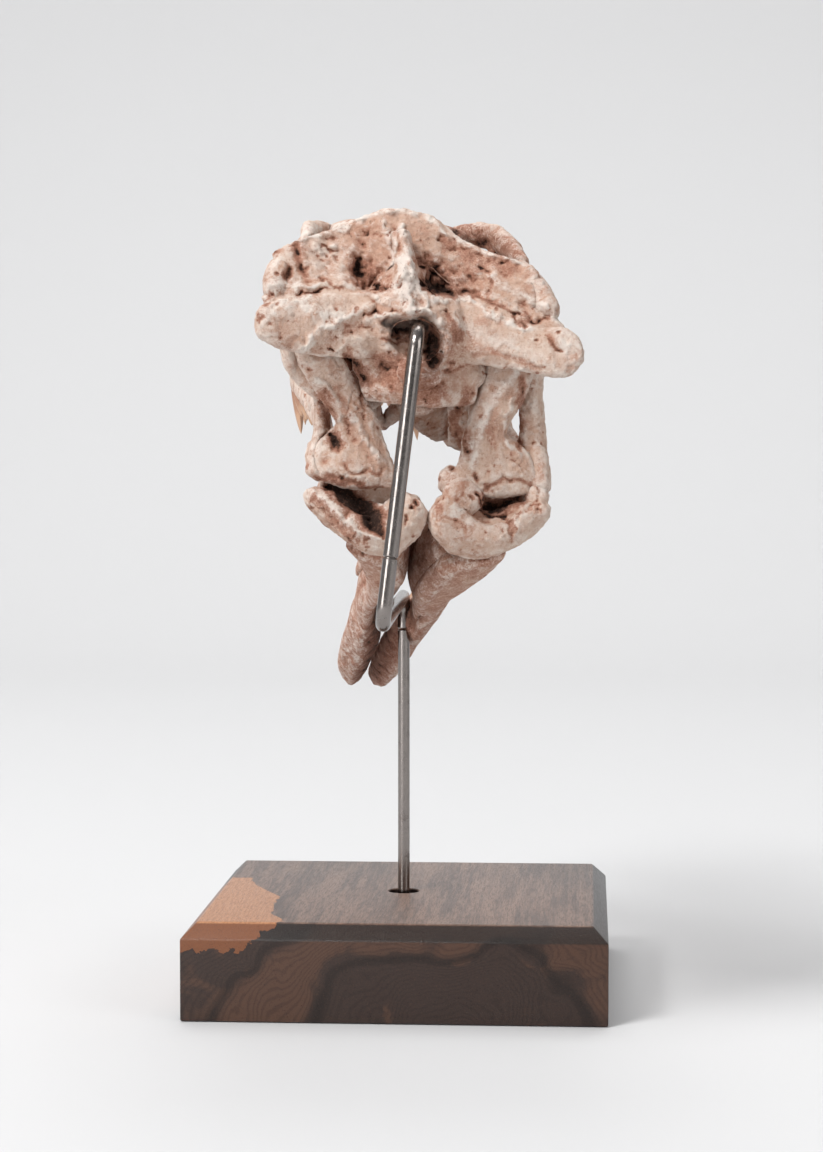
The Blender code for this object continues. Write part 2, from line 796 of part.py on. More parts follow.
def palatine(bones, side):
    plate = bar(
        [
            (7.0, 92, -6.8, 2.6, 0.9, ACROSS),
            (10.4, 106, -6.4, 5.2, 1.1, (1, 0, -0.3)),
            (10.0, 120, -5.6, 4.6, 1.1, (1, 0, -0.3)),
            (6.0, 136, -4.4, 2.2, 0.9, ACROSS),
        ],
        side,
    )
    return bones.add(side_name("palatine", side), [plate])


def vomer(bones):
    blade = bar(
        [
            (0, 118, -4.6, 1.4, 1.6, UP),
            (0, 146, -4.6, 1.8, 1.8, UP),
            (0, 178, -6.4, 1.4, 2.2, UP),
        ]
    )
    return bones.add("vomer", [blade])


def skull(bones):
    braincase(bones)
    for side in (-1, 1):
        quadrate(bones, side)
        premaxilla(bones, side)
        maxilla(bones, side)
        nasal(bones, side)
        lacrimal(bones, side)
        frontal(bones, side)
    parietal(bones)
    for side in (-1, 1):
        postorbital(bones, side)
        squamosal(bones, side)
        quadratojugal(bones, side)
        jugal(bones, side)
        pterygoid(bones, side)
        palatine(bones, side)
        ectopterygoid(bones, side)
    vomer(bones)


def articular(bones, side):
    """The cup of the jaw joint, open upwards and back, with a knob on its inner side."""
    droop = 0.0 if side > 0 else 1.6  # the left cup hangs lower on its inner side
    cup = bar(
        [
            (3.6, 3.5, -2.4, 4.6, 4.2, UP),
            (8.6, 4.0, -7.8 - droop, 6.0, 6.0, (0.3, 0, 1)),
            (16.0, 4.5, -8.0 + 0.6 * droop, 5.4, 6.2, (-0.2, 0, 1)),
            (23.0, 4.0, -4.8 + 0.6 * droop, 3.8, 5.0, (-0.3, 0, 1)),
            (27.6, 3.0, -2.2, 2.2, 3.4, (-0.3, 0, 1)),
        ],
        side,
        sides=10,
        steps=2,
    )
    wall = bar(
        [
            (4.4, 9.4, -4.0, 5.4, 1.6, UP),
            (12.0, 10.4, -1.6, 6.8, 1.8, UP),
            (20.0, 10.4, -0.8, 6.8, 1.8, UP),
            (26.2, 9.0, -0.6, 5.4, 1.6, UP),
        ],
        side,
    )
    pit = lump((side * 14.5, -2.0, 0.0), (9.0, 7.0, 8.4))
    return bones.add(side_name("articular", side), [cup, wall], [pit])


def dentary(bones, side):
    shove = JAW_SHOVE if side > 0 else 0.0
    body = bar(
        [
            (11.8 + 0.2 * shove, 70, -2.6, 5.0, 1.5, UP),
            (9.4 + 0.4 * shove, 86, -2.2, 6.8, 2.3, UP),
            (6.6 + shove, 104, -2.2, 6.2, 2.6, UP),
            (5.5 + 0.7 * shove, 125, -2.6, 5.6, 3.2, UP),
            (5.6 + 0.3 * shove, 150, -2.6, 5.2, 3.4, UP),
            (5.2, 174, -1.6, 4.8, 3.2, UP),
            (3.8, 188, -0.2, 4.0, 2.4, UP),
            (2.6, 195, 1.0, 2.4, 1.4, UP),
        ],
        side,
        sides=10,
    )
    crowns = []
    for i in range(LOWER_TEETH):
        y = FIRST_LOWER_TOOTH - LOWER_PITCH * i
        x = np.interp(y, (110, 125, 150, 174, 190), (6.0, 5.4, 5.5, 5.0, 3.6))
        x += shove * np.interp(y, (104, 125, 150, 174), (1.0, 0.7, 0.3, 0.0))
        z = np.interp(y, (110, 125, 150, 174, 190), (3.6, 2.6, 2.2, 2.8, 3.2))
        crowns.append(tooth(side * x, y, z, -(5.6 - 0.25 * abs(i - 4)), 1.7, TOOTH_RAKE))
    return bones.add(side_name("dentary", side), [body, *crowns])


def surangular(bones, side):
    blade = bar(
        [
            (24.8, 10, -5.2, 3.4, 1.9, (0.8, 0, 0.6)),
            (21.6, 22, -3.0, 5.8, 1.9, (0.6, 0, 0.8)),
            (17.6, 40, 0.0, 6.8, 1.8, (0.4, 0, 1)),
            (14.6, 58, 2.0, 6.0, 1.8, (0.2, 0, 1)),
            (12.4, 74, 3.0, 4.2, 1.7, UP),
            (10.4, 90, 3.8, 2.2, 1.4, UP),
        ],
        side,
    )
    return bones.add(side_name("surangular", side), [blade])


def angular(bones, side):
    """The floor of the jaw's rear half, which narrows early on the left to clear the stand."""
    slack = 0.0 if side > 0 else 1.0
    blade = bar(
        [
            (14.0, 10, -12.6, 6.6, 2.2, (1, 0, 0.35)),
            (11.6, 24, -13.0, 8.4, 2.3, (1, 0, 0.4)),
            (10.0 + 1.6 * slack, 42, -11.8, 6.6 - 1.8 * slack, 2.2, (1, 0, 0.5 + 0.6 * slack)),
            (9.6 + 1.8 * slack, 60, -9.4, 4.6 - slack, 1.8, (0.7 - 0.4 * slack, 0, 1)),
            (9.8, 80, -8.6, 2.2, 1.5, UP),
            (7.4, 96, -8.8, 1.2, 1.1, UP),
        ],
        side,
    )
    return bones.add(side_name("angular", side), [blade])


def splenial(bones, side):
    """The inner wall of the jaw, which here runs on back as far as the joint."""
    shove = JAW_SHOVE if side > 0 else 0.0
    blade = bar(
        [
            (7.2 - 0.4 * shove, 13, -8.4, 5.0, 1.9 + 0.2 * shove, UP),
            (4.8 - 0.6 * shove, 30, -6.0, 8.8, 2.3 + 0.3 * shove, UP),
            (4.4 - 0.6 * shove, 50, -2.8, 10.0, 2.1 + 0.3 * shove, UP),
            (5.0 - 0.1 * shove, 68, -1.6, 9.0, 1.4 + 0.1 * shove, UP),
            (3.9 + 0.8 * shove, 84, -2.0, 7.0, 1.2, UP),
            (2.2 + 1.7 * shove, 100, -2.6, 4.0, 0.9, UP),
        ],
        side,
    )
    return bones.add(side_name("splenial", side), [blade])


def lower_jaw(bones):
    for side in (-1, 1):
        articular(bones, side)
        dentary(bones, side)
        surangular(bones, side)
        angular(bones, side)
        splenial(bones, side)


# --- Stand ---------------------------------------------------------------------


def mount_block(finish):
    """The block: a box with its top edges planed off and a shallow socket for the post."""
    shape = bmesh.new()
    bmesh.ops.create_cube(shape, size=1.0)
    size = Matrix.Diagonal((BLOCK_WIDE, BLOCK_WIDE, BLOCK_TALL, 1.0))
    bmesh.ops.transform(shape, matrix=Matrix.Translation((0, 0, BLOCK_TALL / 2)) @ size, verts=shape.verts)
    top = [edge for edge in shape.edges if all(vert.co.z > BLOCK_TALL / 2 for vert in edge.verts)]
    bmesh.ops.bevel(shape, geom=top, offset=BLOCK_BEVEL, segments=1, affect="EDGES")
    block = add_object("mount_block", shape, finish)
    hole = bmesh.new()
    bmesh.ops.create_cone(
        hole,
        cap_ends=True,
        segments=24,
        radius1=SOCKET_RADIUS,
        radius2=SOCKET_RADIUS,
        depth=2 * SOCKET_DEEP,
        matrix=Matrix.Translation(POST_AT + Vector((0, 0, BLOCK_TALL))),
    )
    combine(block, add_object("socket", hole, finish), "DIFFERENCE")
    return block


def arc(corner, start, end, radius, steps=5):
    """Points round the corner of a bent rod that comes from start and goes on to end."""
    into = (corner - start).normalized()
    out = (end - corner).normalized()
    half = into.angle(out) / 2
    reach = radius * math.tan(half)
    first, last = corner - into * reach, corner + out * reach
    centre = corner + (out - into).normalized() * radius / math.cos(half)
    points = []
    for i in range(steps + 1):
        point = first.lerp(last, i / steps)
        points.append(centre + (point - centre).normalized() * radius)
    return points


def rod(name, points, radius, finish, sides=12):
    """A round bar through points, with flat ends."""
    shape = bmesh.new()
    side_hint = Vector((1, 0, 0))
    rings = []
    for i, point in enumerate(points):
        tangent = points[min(i + 1, len(points) - 1)] - points[max(i - 1, 0)]
        ring = ring_points(point, tangent, side_hint, radius, radius, sides)
        rings.append([shape.verts.new(corner) for corner in ring])
    for lower, upper in zip(rings, rings[1:]):
        for i in range(sides):
            j = (i + 1) % sides
            shape.faces.new((lower[i], lower[j], upper[j], upper[i]))
    shape.faces.new(rings[0])
    shape.faces.new(rings[-1])
    return add_object(name, shape, finish)


def stand(found):
    mount_block(found["wood"])
    foot = POST_AT + Vector((0, 0, BLOCK_TALL - SOCKET_DEEP + GAP))
    far_bend = POST_AT + Vector((0, 0, ARM_HEIGHT))
    stub_end = TOP_BEND + STUB_AIM * STUB_LONG
    seam = NEAR_BEND.lerp(TOP_BEND, SLEEVE_JOINT)
    upward = (TOP_BEND - NEAR_BEND).normalized()
    bend_start = far_bend - Vector((0, 0, 2 * BEND_RADIUS))
    rod("mount_post", [foot, bend_start - Vector((0, 0, GAP))], POST_RADIUS, found["steel"])
    lower = [
        bend_start,
        *arc(far_bend, foot, NEAR_BEND, BEND_RADIUS),
        *arc(NEAR_BEND, far_bend, TOP_BEND, BEND_RADIUS),
    ]
    rod("mount_arm", [*lower, seam - upward * GAP / 2], POST_RADIUS, found["steel"])
    upper = [seam + upward * GAP / 2, *arc(TOP_BEND, NEAR_BEND, stub_end, BEND_RADIUS), stub_end]
    return rod("mount_upright", upper, ROD_RADIUS, found["steel"])


def drill(bone, finish):
    """Bore the hole in the back of the braincase that the rod's stub goes into."""
    shape = bmesh.new()
    start = TOP_BEND - STUB_AIM * DRILL_START
    end = TOP_BEND + STUB_AIM * (STUB_LONG + DRILL_SPARE)
    middle = (start + end) / 2
    aim = (end - start).to_track_quat("Z", "Y").to_matrix().to_4x4()
    bmesh.ops.create_cone(
        shape,
        cap_ends=True,
        segments=16,
        radius1=DRILL_RADIUS,
        radius2=DRILL_RADIUS,
        depth=(end - start).length,
        matrix=Matrix.Translation(middle) @ aim,
    )
    combine(bone, add_object("drill", shape, finish), "DIFFERENCE")


def main():
    clear_scene()
    found = finishes()
    skull_frame = frame_empty("skull_frame", SKULL_AT, SKULL_TURN)
    jaw_frame = frame_empty("jaw_frame", JAW_AT, JAW_TURN)
    stand(found)
    skull(Bones(skull_frame, SKULL_SQUEEZE, CRUSH, found[BONE]))
    drill(bpy.data.objects["braincase"], found[BONE])
    jaw = Bones(jaw_frame, JAW_SQUEEZE, 0.0, found[BONE_WARM])
    hinge = [side_name(name, side) for name in ("quadrate", "quadratojugal") for side in (-1, 1)]
    jaw.made += [bpy.data.objects[name] for name in hinge]
    lower_jaw(jaw)


main()
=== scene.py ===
"""Dinosaur skull on a bent steel rod and a hardwood block: its looks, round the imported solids.

Every bone starts from its own solid, is remade as a fine closed skin, is worked with
grooves, pits and ridges, and then gets a porous surface and a procedural material.
"""

import logging
import math
from dataclasses import dataclass, field, replace
from enum import Enum

import bmesh
import bpy
import numpy as np
from bpy.types import Material, Mesh, Node, NodeSocket, Object
from mathutils import Matrix, Vector


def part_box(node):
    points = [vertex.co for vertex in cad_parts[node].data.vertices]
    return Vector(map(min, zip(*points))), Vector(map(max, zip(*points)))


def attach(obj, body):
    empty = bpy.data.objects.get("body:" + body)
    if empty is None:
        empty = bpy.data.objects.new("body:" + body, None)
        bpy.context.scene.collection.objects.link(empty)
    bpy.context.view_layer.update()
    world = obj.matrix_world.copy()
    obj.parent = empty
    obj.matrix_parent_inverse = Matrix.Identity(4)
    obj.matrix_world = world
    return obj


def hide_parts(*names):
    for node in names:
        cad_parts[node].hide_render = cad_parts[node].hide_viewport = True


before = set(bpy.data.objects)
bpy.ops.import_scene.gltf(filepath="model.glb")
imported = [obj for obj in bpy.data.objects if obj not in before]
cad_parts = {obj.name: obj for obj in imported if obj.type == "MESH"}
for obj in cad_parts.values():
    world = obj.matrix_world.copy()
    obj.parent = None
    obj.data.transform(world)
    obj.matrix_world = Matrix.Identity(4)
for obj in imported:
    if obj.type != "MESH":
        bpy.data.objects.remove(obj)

MM = 0.001
BODY = "root"
Pair = tuple[float, float]
Triple = tuple[float, float, float]
Four = tuple[float, float, float, float]
Five = tuple[float, float, float, float, float]
Shape = tuple[np.ndarray, list]
Value = NodeSocket | float
log = logging.getLogger("skull")


# --- Frames --------------------------------------------------------------------


@dataclass(frozen=True)
class BoneFrame:
    """The frame a group of bones is worked in, in millimetres: x right, y to the snout, z up.

    Attributes:
        at: its origin in the world, in millimetres.
        turn: pitch, roll and yaw in degrees.
        squeeze: the share by which the left side is pressed in, and the y values where
            that starts, is full, stays full and ends.
        shear: how far a point leans to the left for each millimetre above level.
        level: the height that the shear leaves in place.
    """

    at: Triple
    turn: Triple
    squeeze: Five
    shear: float = 0.0
    level: float = 0.0

    def spin(self) -> np.ndarray:
        """The frame's rotation.

        Returns:
            A 3 by 3 array.
        """
        pitch, roll, yaw = (math.radians(angle) for angle in self.turn)
        turned = Matrix.Rotation(yaw, 3, "Z") @ Matrix.Rotation(pitch, 3, "X")
        return np.array(turned @ Matrix.Rotation(roll, 3, "Y"))

    def local(self, world: np.ndarray) -> np.ndarray:
        """Bring world points, in metres, into the frame, in millimetres.

        Args:
            world: rows of x, y and z.

        Returns:
            The same rows in the frame, not pressed out again.
        """
        points = (world / MM - np.array(self.at)) @ self.spin()
        points[:, 0] += self.shear * (points[:, 2] - self.level)
        return points

    def world(self, points: np.ndarray, pressed: bool = True) -> np.ndarray:
        """Place frame points, in millimetres, in the world, in metres.

        Args:
            points: rows of x, y and z.
            pressed: whether the left side is pressed in, as a new shape needs.

        Returns:
            The same rows in the world.
        """
        put = np.array(points, dtype=float)
        if pressed:
            share, start, full, still, end = self.squeeze
            keep = 1.0 - share * np.interp(put[:, 1], (start, full, still, end), (0, 1, 1, 0))
            put[:, 0] = np.where(put[:, 0] < 0, put[:, 0] * keep, put[:, 0])
        put[:, 0] -= self.shear * (put[:, 2] - self.level)
        return (put @ self.spin().T + np.array(self.at)) * MM


SKULL = BoneFrame(
    at=(9.7, -110.0, 162.8),
    turn=(3.0, 3.6, 11.0),
    squeeze=(0.24, 8, 30, 84, 124),
    shear=0.14,
    level=9.0,
)
JAW = BoneFrame(at=(11.8, -102.0, 136.3), turn=(-17.6, 3.6, 9.4), squeeze=(0.30, 6, 26, 70, 104))


# --- Node trees ------------------------------------------------------------------


class Graph:
    """Builds a node tree in a few words."""

    def __init__(self, tree: bpy.types.NodeTree) -> None:
        """Take the tree that the nodes go into."""
        self.tree = tree

    def add(self, kind: str, inputs: dict | None = None, **settings: object) -> Node:
        """Add a node.

        Args:
            kind: the node's type name.
            inputs: socket name or number to a value, or to another node's output.
            **settings: the node's own properties.

        Returns:
            The node.
        """
        node = self.tree.nodes.new(kind)
        for name, value in settings.items():
            setattr(node, name, value)
        for key, value in (inputs or {}).items():
            if isinstance(value, NodeSocket):
                self.tree.links.new(value, node.inputs[key])
            else:
                node.inputs[key].default_value = value
        return node

    def math(self, operation: str, *values: Value, clamp: bool = False) -> NodeSocket:
        """A Math node's output, in a shader tree or a geometry tree."""
        inputs = dict(enumerate(values))
        return self.add("ShaderNodeMath", inputs, operation=operation, use_clamp=clamp).outputs[0]

    def times(self, *values: Value, clamp: bool = False) -> NodeSocket:
        """The product of two numbers."""
        return self.math("MULTIPLY", *values, clamp=clamp)

    def plus(self, *values: Value, clamp: bool = False) -> NodeSocket:
        """The sum of two numbers."""
        return self.math("ADD", *values, clamp=clamp)

    def less(self, *values: Value) -> NodeSocket:
        """The first number less the second."""
        return self.math("SUBTRACT", *values)

    def mix(self, share: Value, low: NodeSocket | Triple, high: NodeSocket | Triple) -> NodeSocket:
        """Mix two colours.

        Args:
            share: 0 for all low and 1 for all high.
            low, high: sockets, or linear colours.

        Returns:
            The colour.
        """
        colours = {6: low, 7: high}
        colours = {k: (*v, 1.0) if isinstance(v, tuple) else v for k, v in colours.items()}
        return self.add("ShaderNodeMix", {0: share, **colours}, data_type="RGBA").outputs[2]

    def ramp(self, value: Value, low: Value, high: Value) -> NodeSocket:
        """0 below low, 1 above high and smooth between them."""
        inputs = {"Value": value, "From Min": low, "From Max": high}
        return self.add("ShaderNodeMapRange", inputs, interpolation_type="SMOOTHSTEP").outputs[0]

    def noise(
        self, vector: NodeSocket, scale: float, detail: float = 4.0, rough: float = 0.55
    ) -> NodeSocket:
        """A Noise Texture's value."""
        inputs = {"Vector": vector, "Scale": scale, "Detail": detail, "Roughness": rough}
        return self.add("ShaderNodeTexNoise", inputs).outputs[0]

    def drifted(
        self, vector: NodeSocket, where: NodeSocket, scale: float, detail: float, reach: Triple
    ) -> NodeSocket:
        """The vector pushed about by a coloured Noise Texture.

        Args:
            vector: what is pushed.
            where: the vector that the noise is read at.
            scale, detail: the noise's own.
            reach: how far it pushes along x, y and z.

        Returns:
            The pushed vector.
        """
        inputs = {"Vector": where, "Scale": scale, "Detail": detail, "Roughness": 0.55}
        drift = self.scaled(self.add("ShaderNodeTexNoise", inputs).outputs[1], reach)
        return self.add("ShaderNodeVectorMath", {0: vector, 1: drift}, operation="ADD").outputs[0]

    def scaled(self, vector: NodeSocket, factors: Triple) -> NodeSocket:
        """The vector with each part multiplied by its own factor."""
        node = self.add("ShaderNodeVectorMath", {0: vector, 1: factors}, operation="MULTIPLY")
        return node.outputs[0]

    def longer(self, vector: NodeSocket, share: Value) -> NodeSocket:
        """The vector times one number."""
        inputs = {0: vector, "Scale": share}
        return self.add("ShaderNodeVectorMath", inputs, operation="SCALE").outputs[0]

    def parts(self, vector: NodeSocket) -> bpy.types.bpy_prop_collection:
        """The vector's x, y and z."""
        return self.add("ShaderNodeSeparateXYZ", {0: vector}).outputs

    def place(self, drawn: float = 1.0) -> NodeSocket:
        """The point on the object in millimetres, with y shortened by the share drawn."""
        where = self.add("ShaderNodeTexCoord").outputs["Object"]
        return self.scaled(where, (1000, 1000 * drawn, 1000))

    def attribute(self, name: str) -> NodeSocket:
        """A number stored on the mesh's points."""
        return self.add("ShaderNodeAttribute", attribute_name=name).outputs["Fac"]


def new_material(name: str) -> tuple[Material, Graph, Node]:
    """Make a material with a Principled shader.

    Args:
        name: the material's name.

    Returns:
        The material, its graph and the shader.
    """
    made = bpy.data.materials.new(name)
    made.use_nodes = True
    return made, Graph(made.node_tree), made.node_tree.nodes["Principled BSDF"]


def dress(
    g: Graph, shader: Node, colour: NodeSocket, rough: Value, bump: tuple | None = None
) -> None:
    """Give the shader its colour, its roughness and its bump.

    Args:
        g: the material's graph.
        shader: its Principled shader.
        colour: a socket.
        rough: a socket, or one number for the whole surface.
        bump: a height socket, the strength, and the distance in metres.
    """
    g.tree.links.new(colour, shader.inputs["Base Color"])
    if isinstance(rough, NodeSocket):
        g.tree.links.new(rough, shader.inputs["Roughness"])
    else:
        shader.inputs["Roughness"].default_value = rough
    if bump:
        height, strength, distance = bump
        inputs = {"Strength": strength, "Distance": distance, "Height": height}
        g.tree.links.new(g.add("ShaderNodeBump", inputs).outputs[0], shader.inputs["Normal"])


# --- Finishes ---------------------------------------------------------------------


@dataclass(frozen=True)
class BoneFinish:
    """Mineralised bone: linear colours from the palest rim to the painted shade of the deepest
    holes.

    Attributes:
        name: the material's name.
        rim, cream, pink, rosy, rust, dark: the bone, from worn edges to deep holes; rim also serves
            as painted highlight on broad ridges, rust as stain and as painted shade, and dark as
            painted shade in deep holes.
        grey: the rock left in the hollows.
        roughness: how dull it is.
        drawn: the share that the patches are shortened by along the bone.
        sanded: how much fine rosy grit shows where it is neither chalky nor paled by painted
            highlight.
    """

    name: str
    rim: Triple = (0.80, 0.71, 0.64)
    cream: Triple = (0.66, 0.49, 0.39)
    pink: Triple = (0.56, 0.34, 0.245)
    rosy: Triple = (0.41, 0.19, 0.125)
    rust: Triple = (0.215, 0.085, 0.05)
    dark: Triple = (0.03, 0.014, 0.009)
    grey: Triple = (0.21, 0.175, 0.15)
    roughness: float = 0.82
    drawn: float = 1.0
    sanded: float = 0.42

    def build(self) -> Material:
        """Make the material: colour by patches, marks and relief, with painted shade in hollows and
        painted highlight on ridges, and a fine porous bump.

        Returns:
            The material.
        """
        made, g, shader = new_material(self.name)
        at = g.place(self.drawn)
        warped = g.drifted(at, at, 0.22, 3, (5, 5, 5))
        patches = g.noise(warped, 0.055, 6, 0.60)
        mottle = g.noise(warped, 0.42, 7, 0.68)
        cloud = g.noise(at, 0.17, 5, 0.65)
        speck = g.noise(at, 2.1, 5, 0.7)
        grit = g.noise(at, 5.5, 3, 0.6)
        sand = g.noise(at, 1.35, 5, 0.78)
        cells = g.add("ShaderNodeTexVoronoi", {"Vector": warped, "Scale": 1.3}).outputs["Distance"]
        relief, rust = g.attribute("relief"), g.attribute("rust")
        grey, pale, form = g.attribute("grey"), g.attribute("pale"), g.attribute("form")

        colour = g.mix(g.ramp(patches, 0.36, 0.64), self.pink, self.cream)
        blush = g.times(g.ramp(cloud, 0.44, 0.66), g.ramp(mottle, 0.34, 0.62))
        colour = g.mix(g.times(blush, 0.55), colour, self.rosy)
        colour = g.mix(g.times(g.ramp(mottle, 0.55, 0.72), 0.3), colour, self.rosy)
        worn = g.times(g.ramp(relief, 0.02, 0.55), g.ramp(mottle, 0.66, 0.36))
        colour = g.mix(g.times(worn, 0.55), colour, self.rim)
        # Painted highlight: the broad relief turns ridges toward the pale rim colour, along with
        # the pale marks.
        ridges = g.plus(pale, g.times(g.ramp(form, 0.15, 0.9), 0.55))
        chalk_and_highlight = g.times(g.ramp(mottle, 0.68, 0.36), ridges, clamp=True)
        colour = g.mix(g.times(chalk_and_highlight, 0.85), colour, self.rim)
        # Painted shade: fine creases, broad hollows and the marks' strong rust tint darken the bone
        # step by step toward its darkest tone, along with real stain.
        hollow = g.ramp(relief, -0.15, -1.0)
        broken = g.times(g.less(g.plus(mottle, speck), 1.0), 1.5)
        stain_and_shade = g.plus(rust, g.times(hollow, 0.45))
        stain_and_shade = g.plus(stain_and_shade, g.times(g.ramp(form, -0.1, -1.0), 0.55))
        held = g.plus(stain_and_shade, g.times(broken, g.ramp(stain_and_shade, 0.0, 0.45)))
        colour = g.mix(g.times(g.ramp(held, 0.02, 0.55), 0.8), colour, self.rosy)
        colour = g.mix(g.times(g.ramp(held, 0.35, 1.0), 0.85), colour, self.rust)
        colour = g.mix(g.ramp(held, 0.85, 1.5), colour, self.dark)
        matrix = g.times(g.ramp(grey, 0.15, 0.9), g.ramp(held, 1.9, 1.2))
        colour = g.mix(g.times(matrix, 0.8), colour, self.grey)
        spots = g.times(g.ramp(speck, 0.59, 0.70), g.ramp(cloud, 0.40, 0.60))
        colour = g.mix(g.times(spots, 0.7), colour, self.rust)
        holes = g.times(g.ramp(cells, 0.20, 0.09), g.ramp(patches, 0.55, 0.43))
        colour = g.mix(g.times(holes, 0.7), colour, self.rust)
        # Pale dust specks, only where there is neither stain nor painted shade.
        unstained_unshaded = g.times(g.ramp(held, 0.5, 0.0), 0.28)
        dusty = g.times(g.ramp(speck, 0.45, 0.30), unstained_unshaded)
        colour = g.mix(dusty, colour, self.rim)

        bare = g.times(g.ramp(chalk_and_highlight, 1.0, 0.2), self.sanded)
        colour = g.mix(g.times(g.ramp(sand, 0.50, 0.66), bare), colour, self.rosy)
        colour = g.mix(g.times(g.ramp(sand, 0.64, 0.74), 1.2 * self.sanded), colour, self.rust)
        height = g.plus(g.times(speck, 0.9), g.times(grit, 0.45))
        height = g.less(height, g.times(sand, 1.2))
        height = g.less(height, g.times(holes, 0.8))
        dress(g, shader, colour, self.roughness, (height, 0.85, 0.5 * MM))
        shader.inputs["Specular IOR Level"].default_value = 0.28
        return made


@dataclass(frozen=True)
class EnamelFinish:
    """Tan-brown tooth enamel, darker to the root, with fine lines along the crown."""

    name: str = "tooth_enamel"
    tip: Triple = (0.50, 0.31, 0.20)
    root: Triple = (0.34, 0.17, 0.105)
    crack: Triple = (0.10, 0.05, 0.03)

    def build(self) -> Material:
        """Make the material from the crown's stored height and stretched noise.

        Returns:
            The material.
        """
        made, g, shader = new_material(self.name)
        at = g.add("ShaderNodeTexCoord").outputs["Object"]
        lines = g.noise(g.scaled(at, (2600, 2600, 260)), 1.0, 4, 0.6)
        cloud = g.noise(g.scaled(at, (1000, 1000, 1000)), 0.5, 4)
        down = g.plus(g.attribute("down"), g.less(cloud, 0.5))
        colour = g.mix(g.ramp(down, 0.1, 0.9), self.root, self.tip)
        colour = g.mix(g.times(g.ramp(lines, 0.60, 0.72), 0.6), colour, self.crack)
        dress(g, shader, colour, 0.42, (lines, 0.3, 0.2 * MM))
        return made


@dataclass(frozen=True)
class SteelFinish:
    """Bare drawn steel, dulled by handling."""

    name: str = "bare_steel"
    metal: Triple = (0.27, 0.243, 0.228)
    smudge: Triple = (0.15, 0.13, 0.12)
    speck: Triple = (0.12, 0.10, 0.09)

    def build(self) -> Material:
        """Make the material: smudges, specks of tarnish and fine drawing lines.

        Returns:
            The material.
        """
        made, g, shader = new_material(self.name)
        at = g.place()
        cloud = g.noise(at, 0.35, 6, 0.7)
        lines = g.noise(g.scaled(at, (4.0, 4.0, 0.12)), 1.0, 3, 0.5)
        specks = g.noise(at, 2.4, 4, 0.65)
        tarnish = g.times(g.ramp(cloud, 0.52, 0.74), 0.55)
        colour = g.mix(tarnish, self.metal, self.smudge)
        colour = g.mix(g.times(g.ramp(specks, 0.66, 0.72), 0.6), colour, self.speck)
        rough = g.plus(0.17, g.times(g.ramp(cloud, 0.40, 0.75), 0.16))
        dress(g, shader, colour, rough, (lines, 0.25, 0.1 * MM))
        shader.inputs["Metallic"].default_value = 1.0
        return made


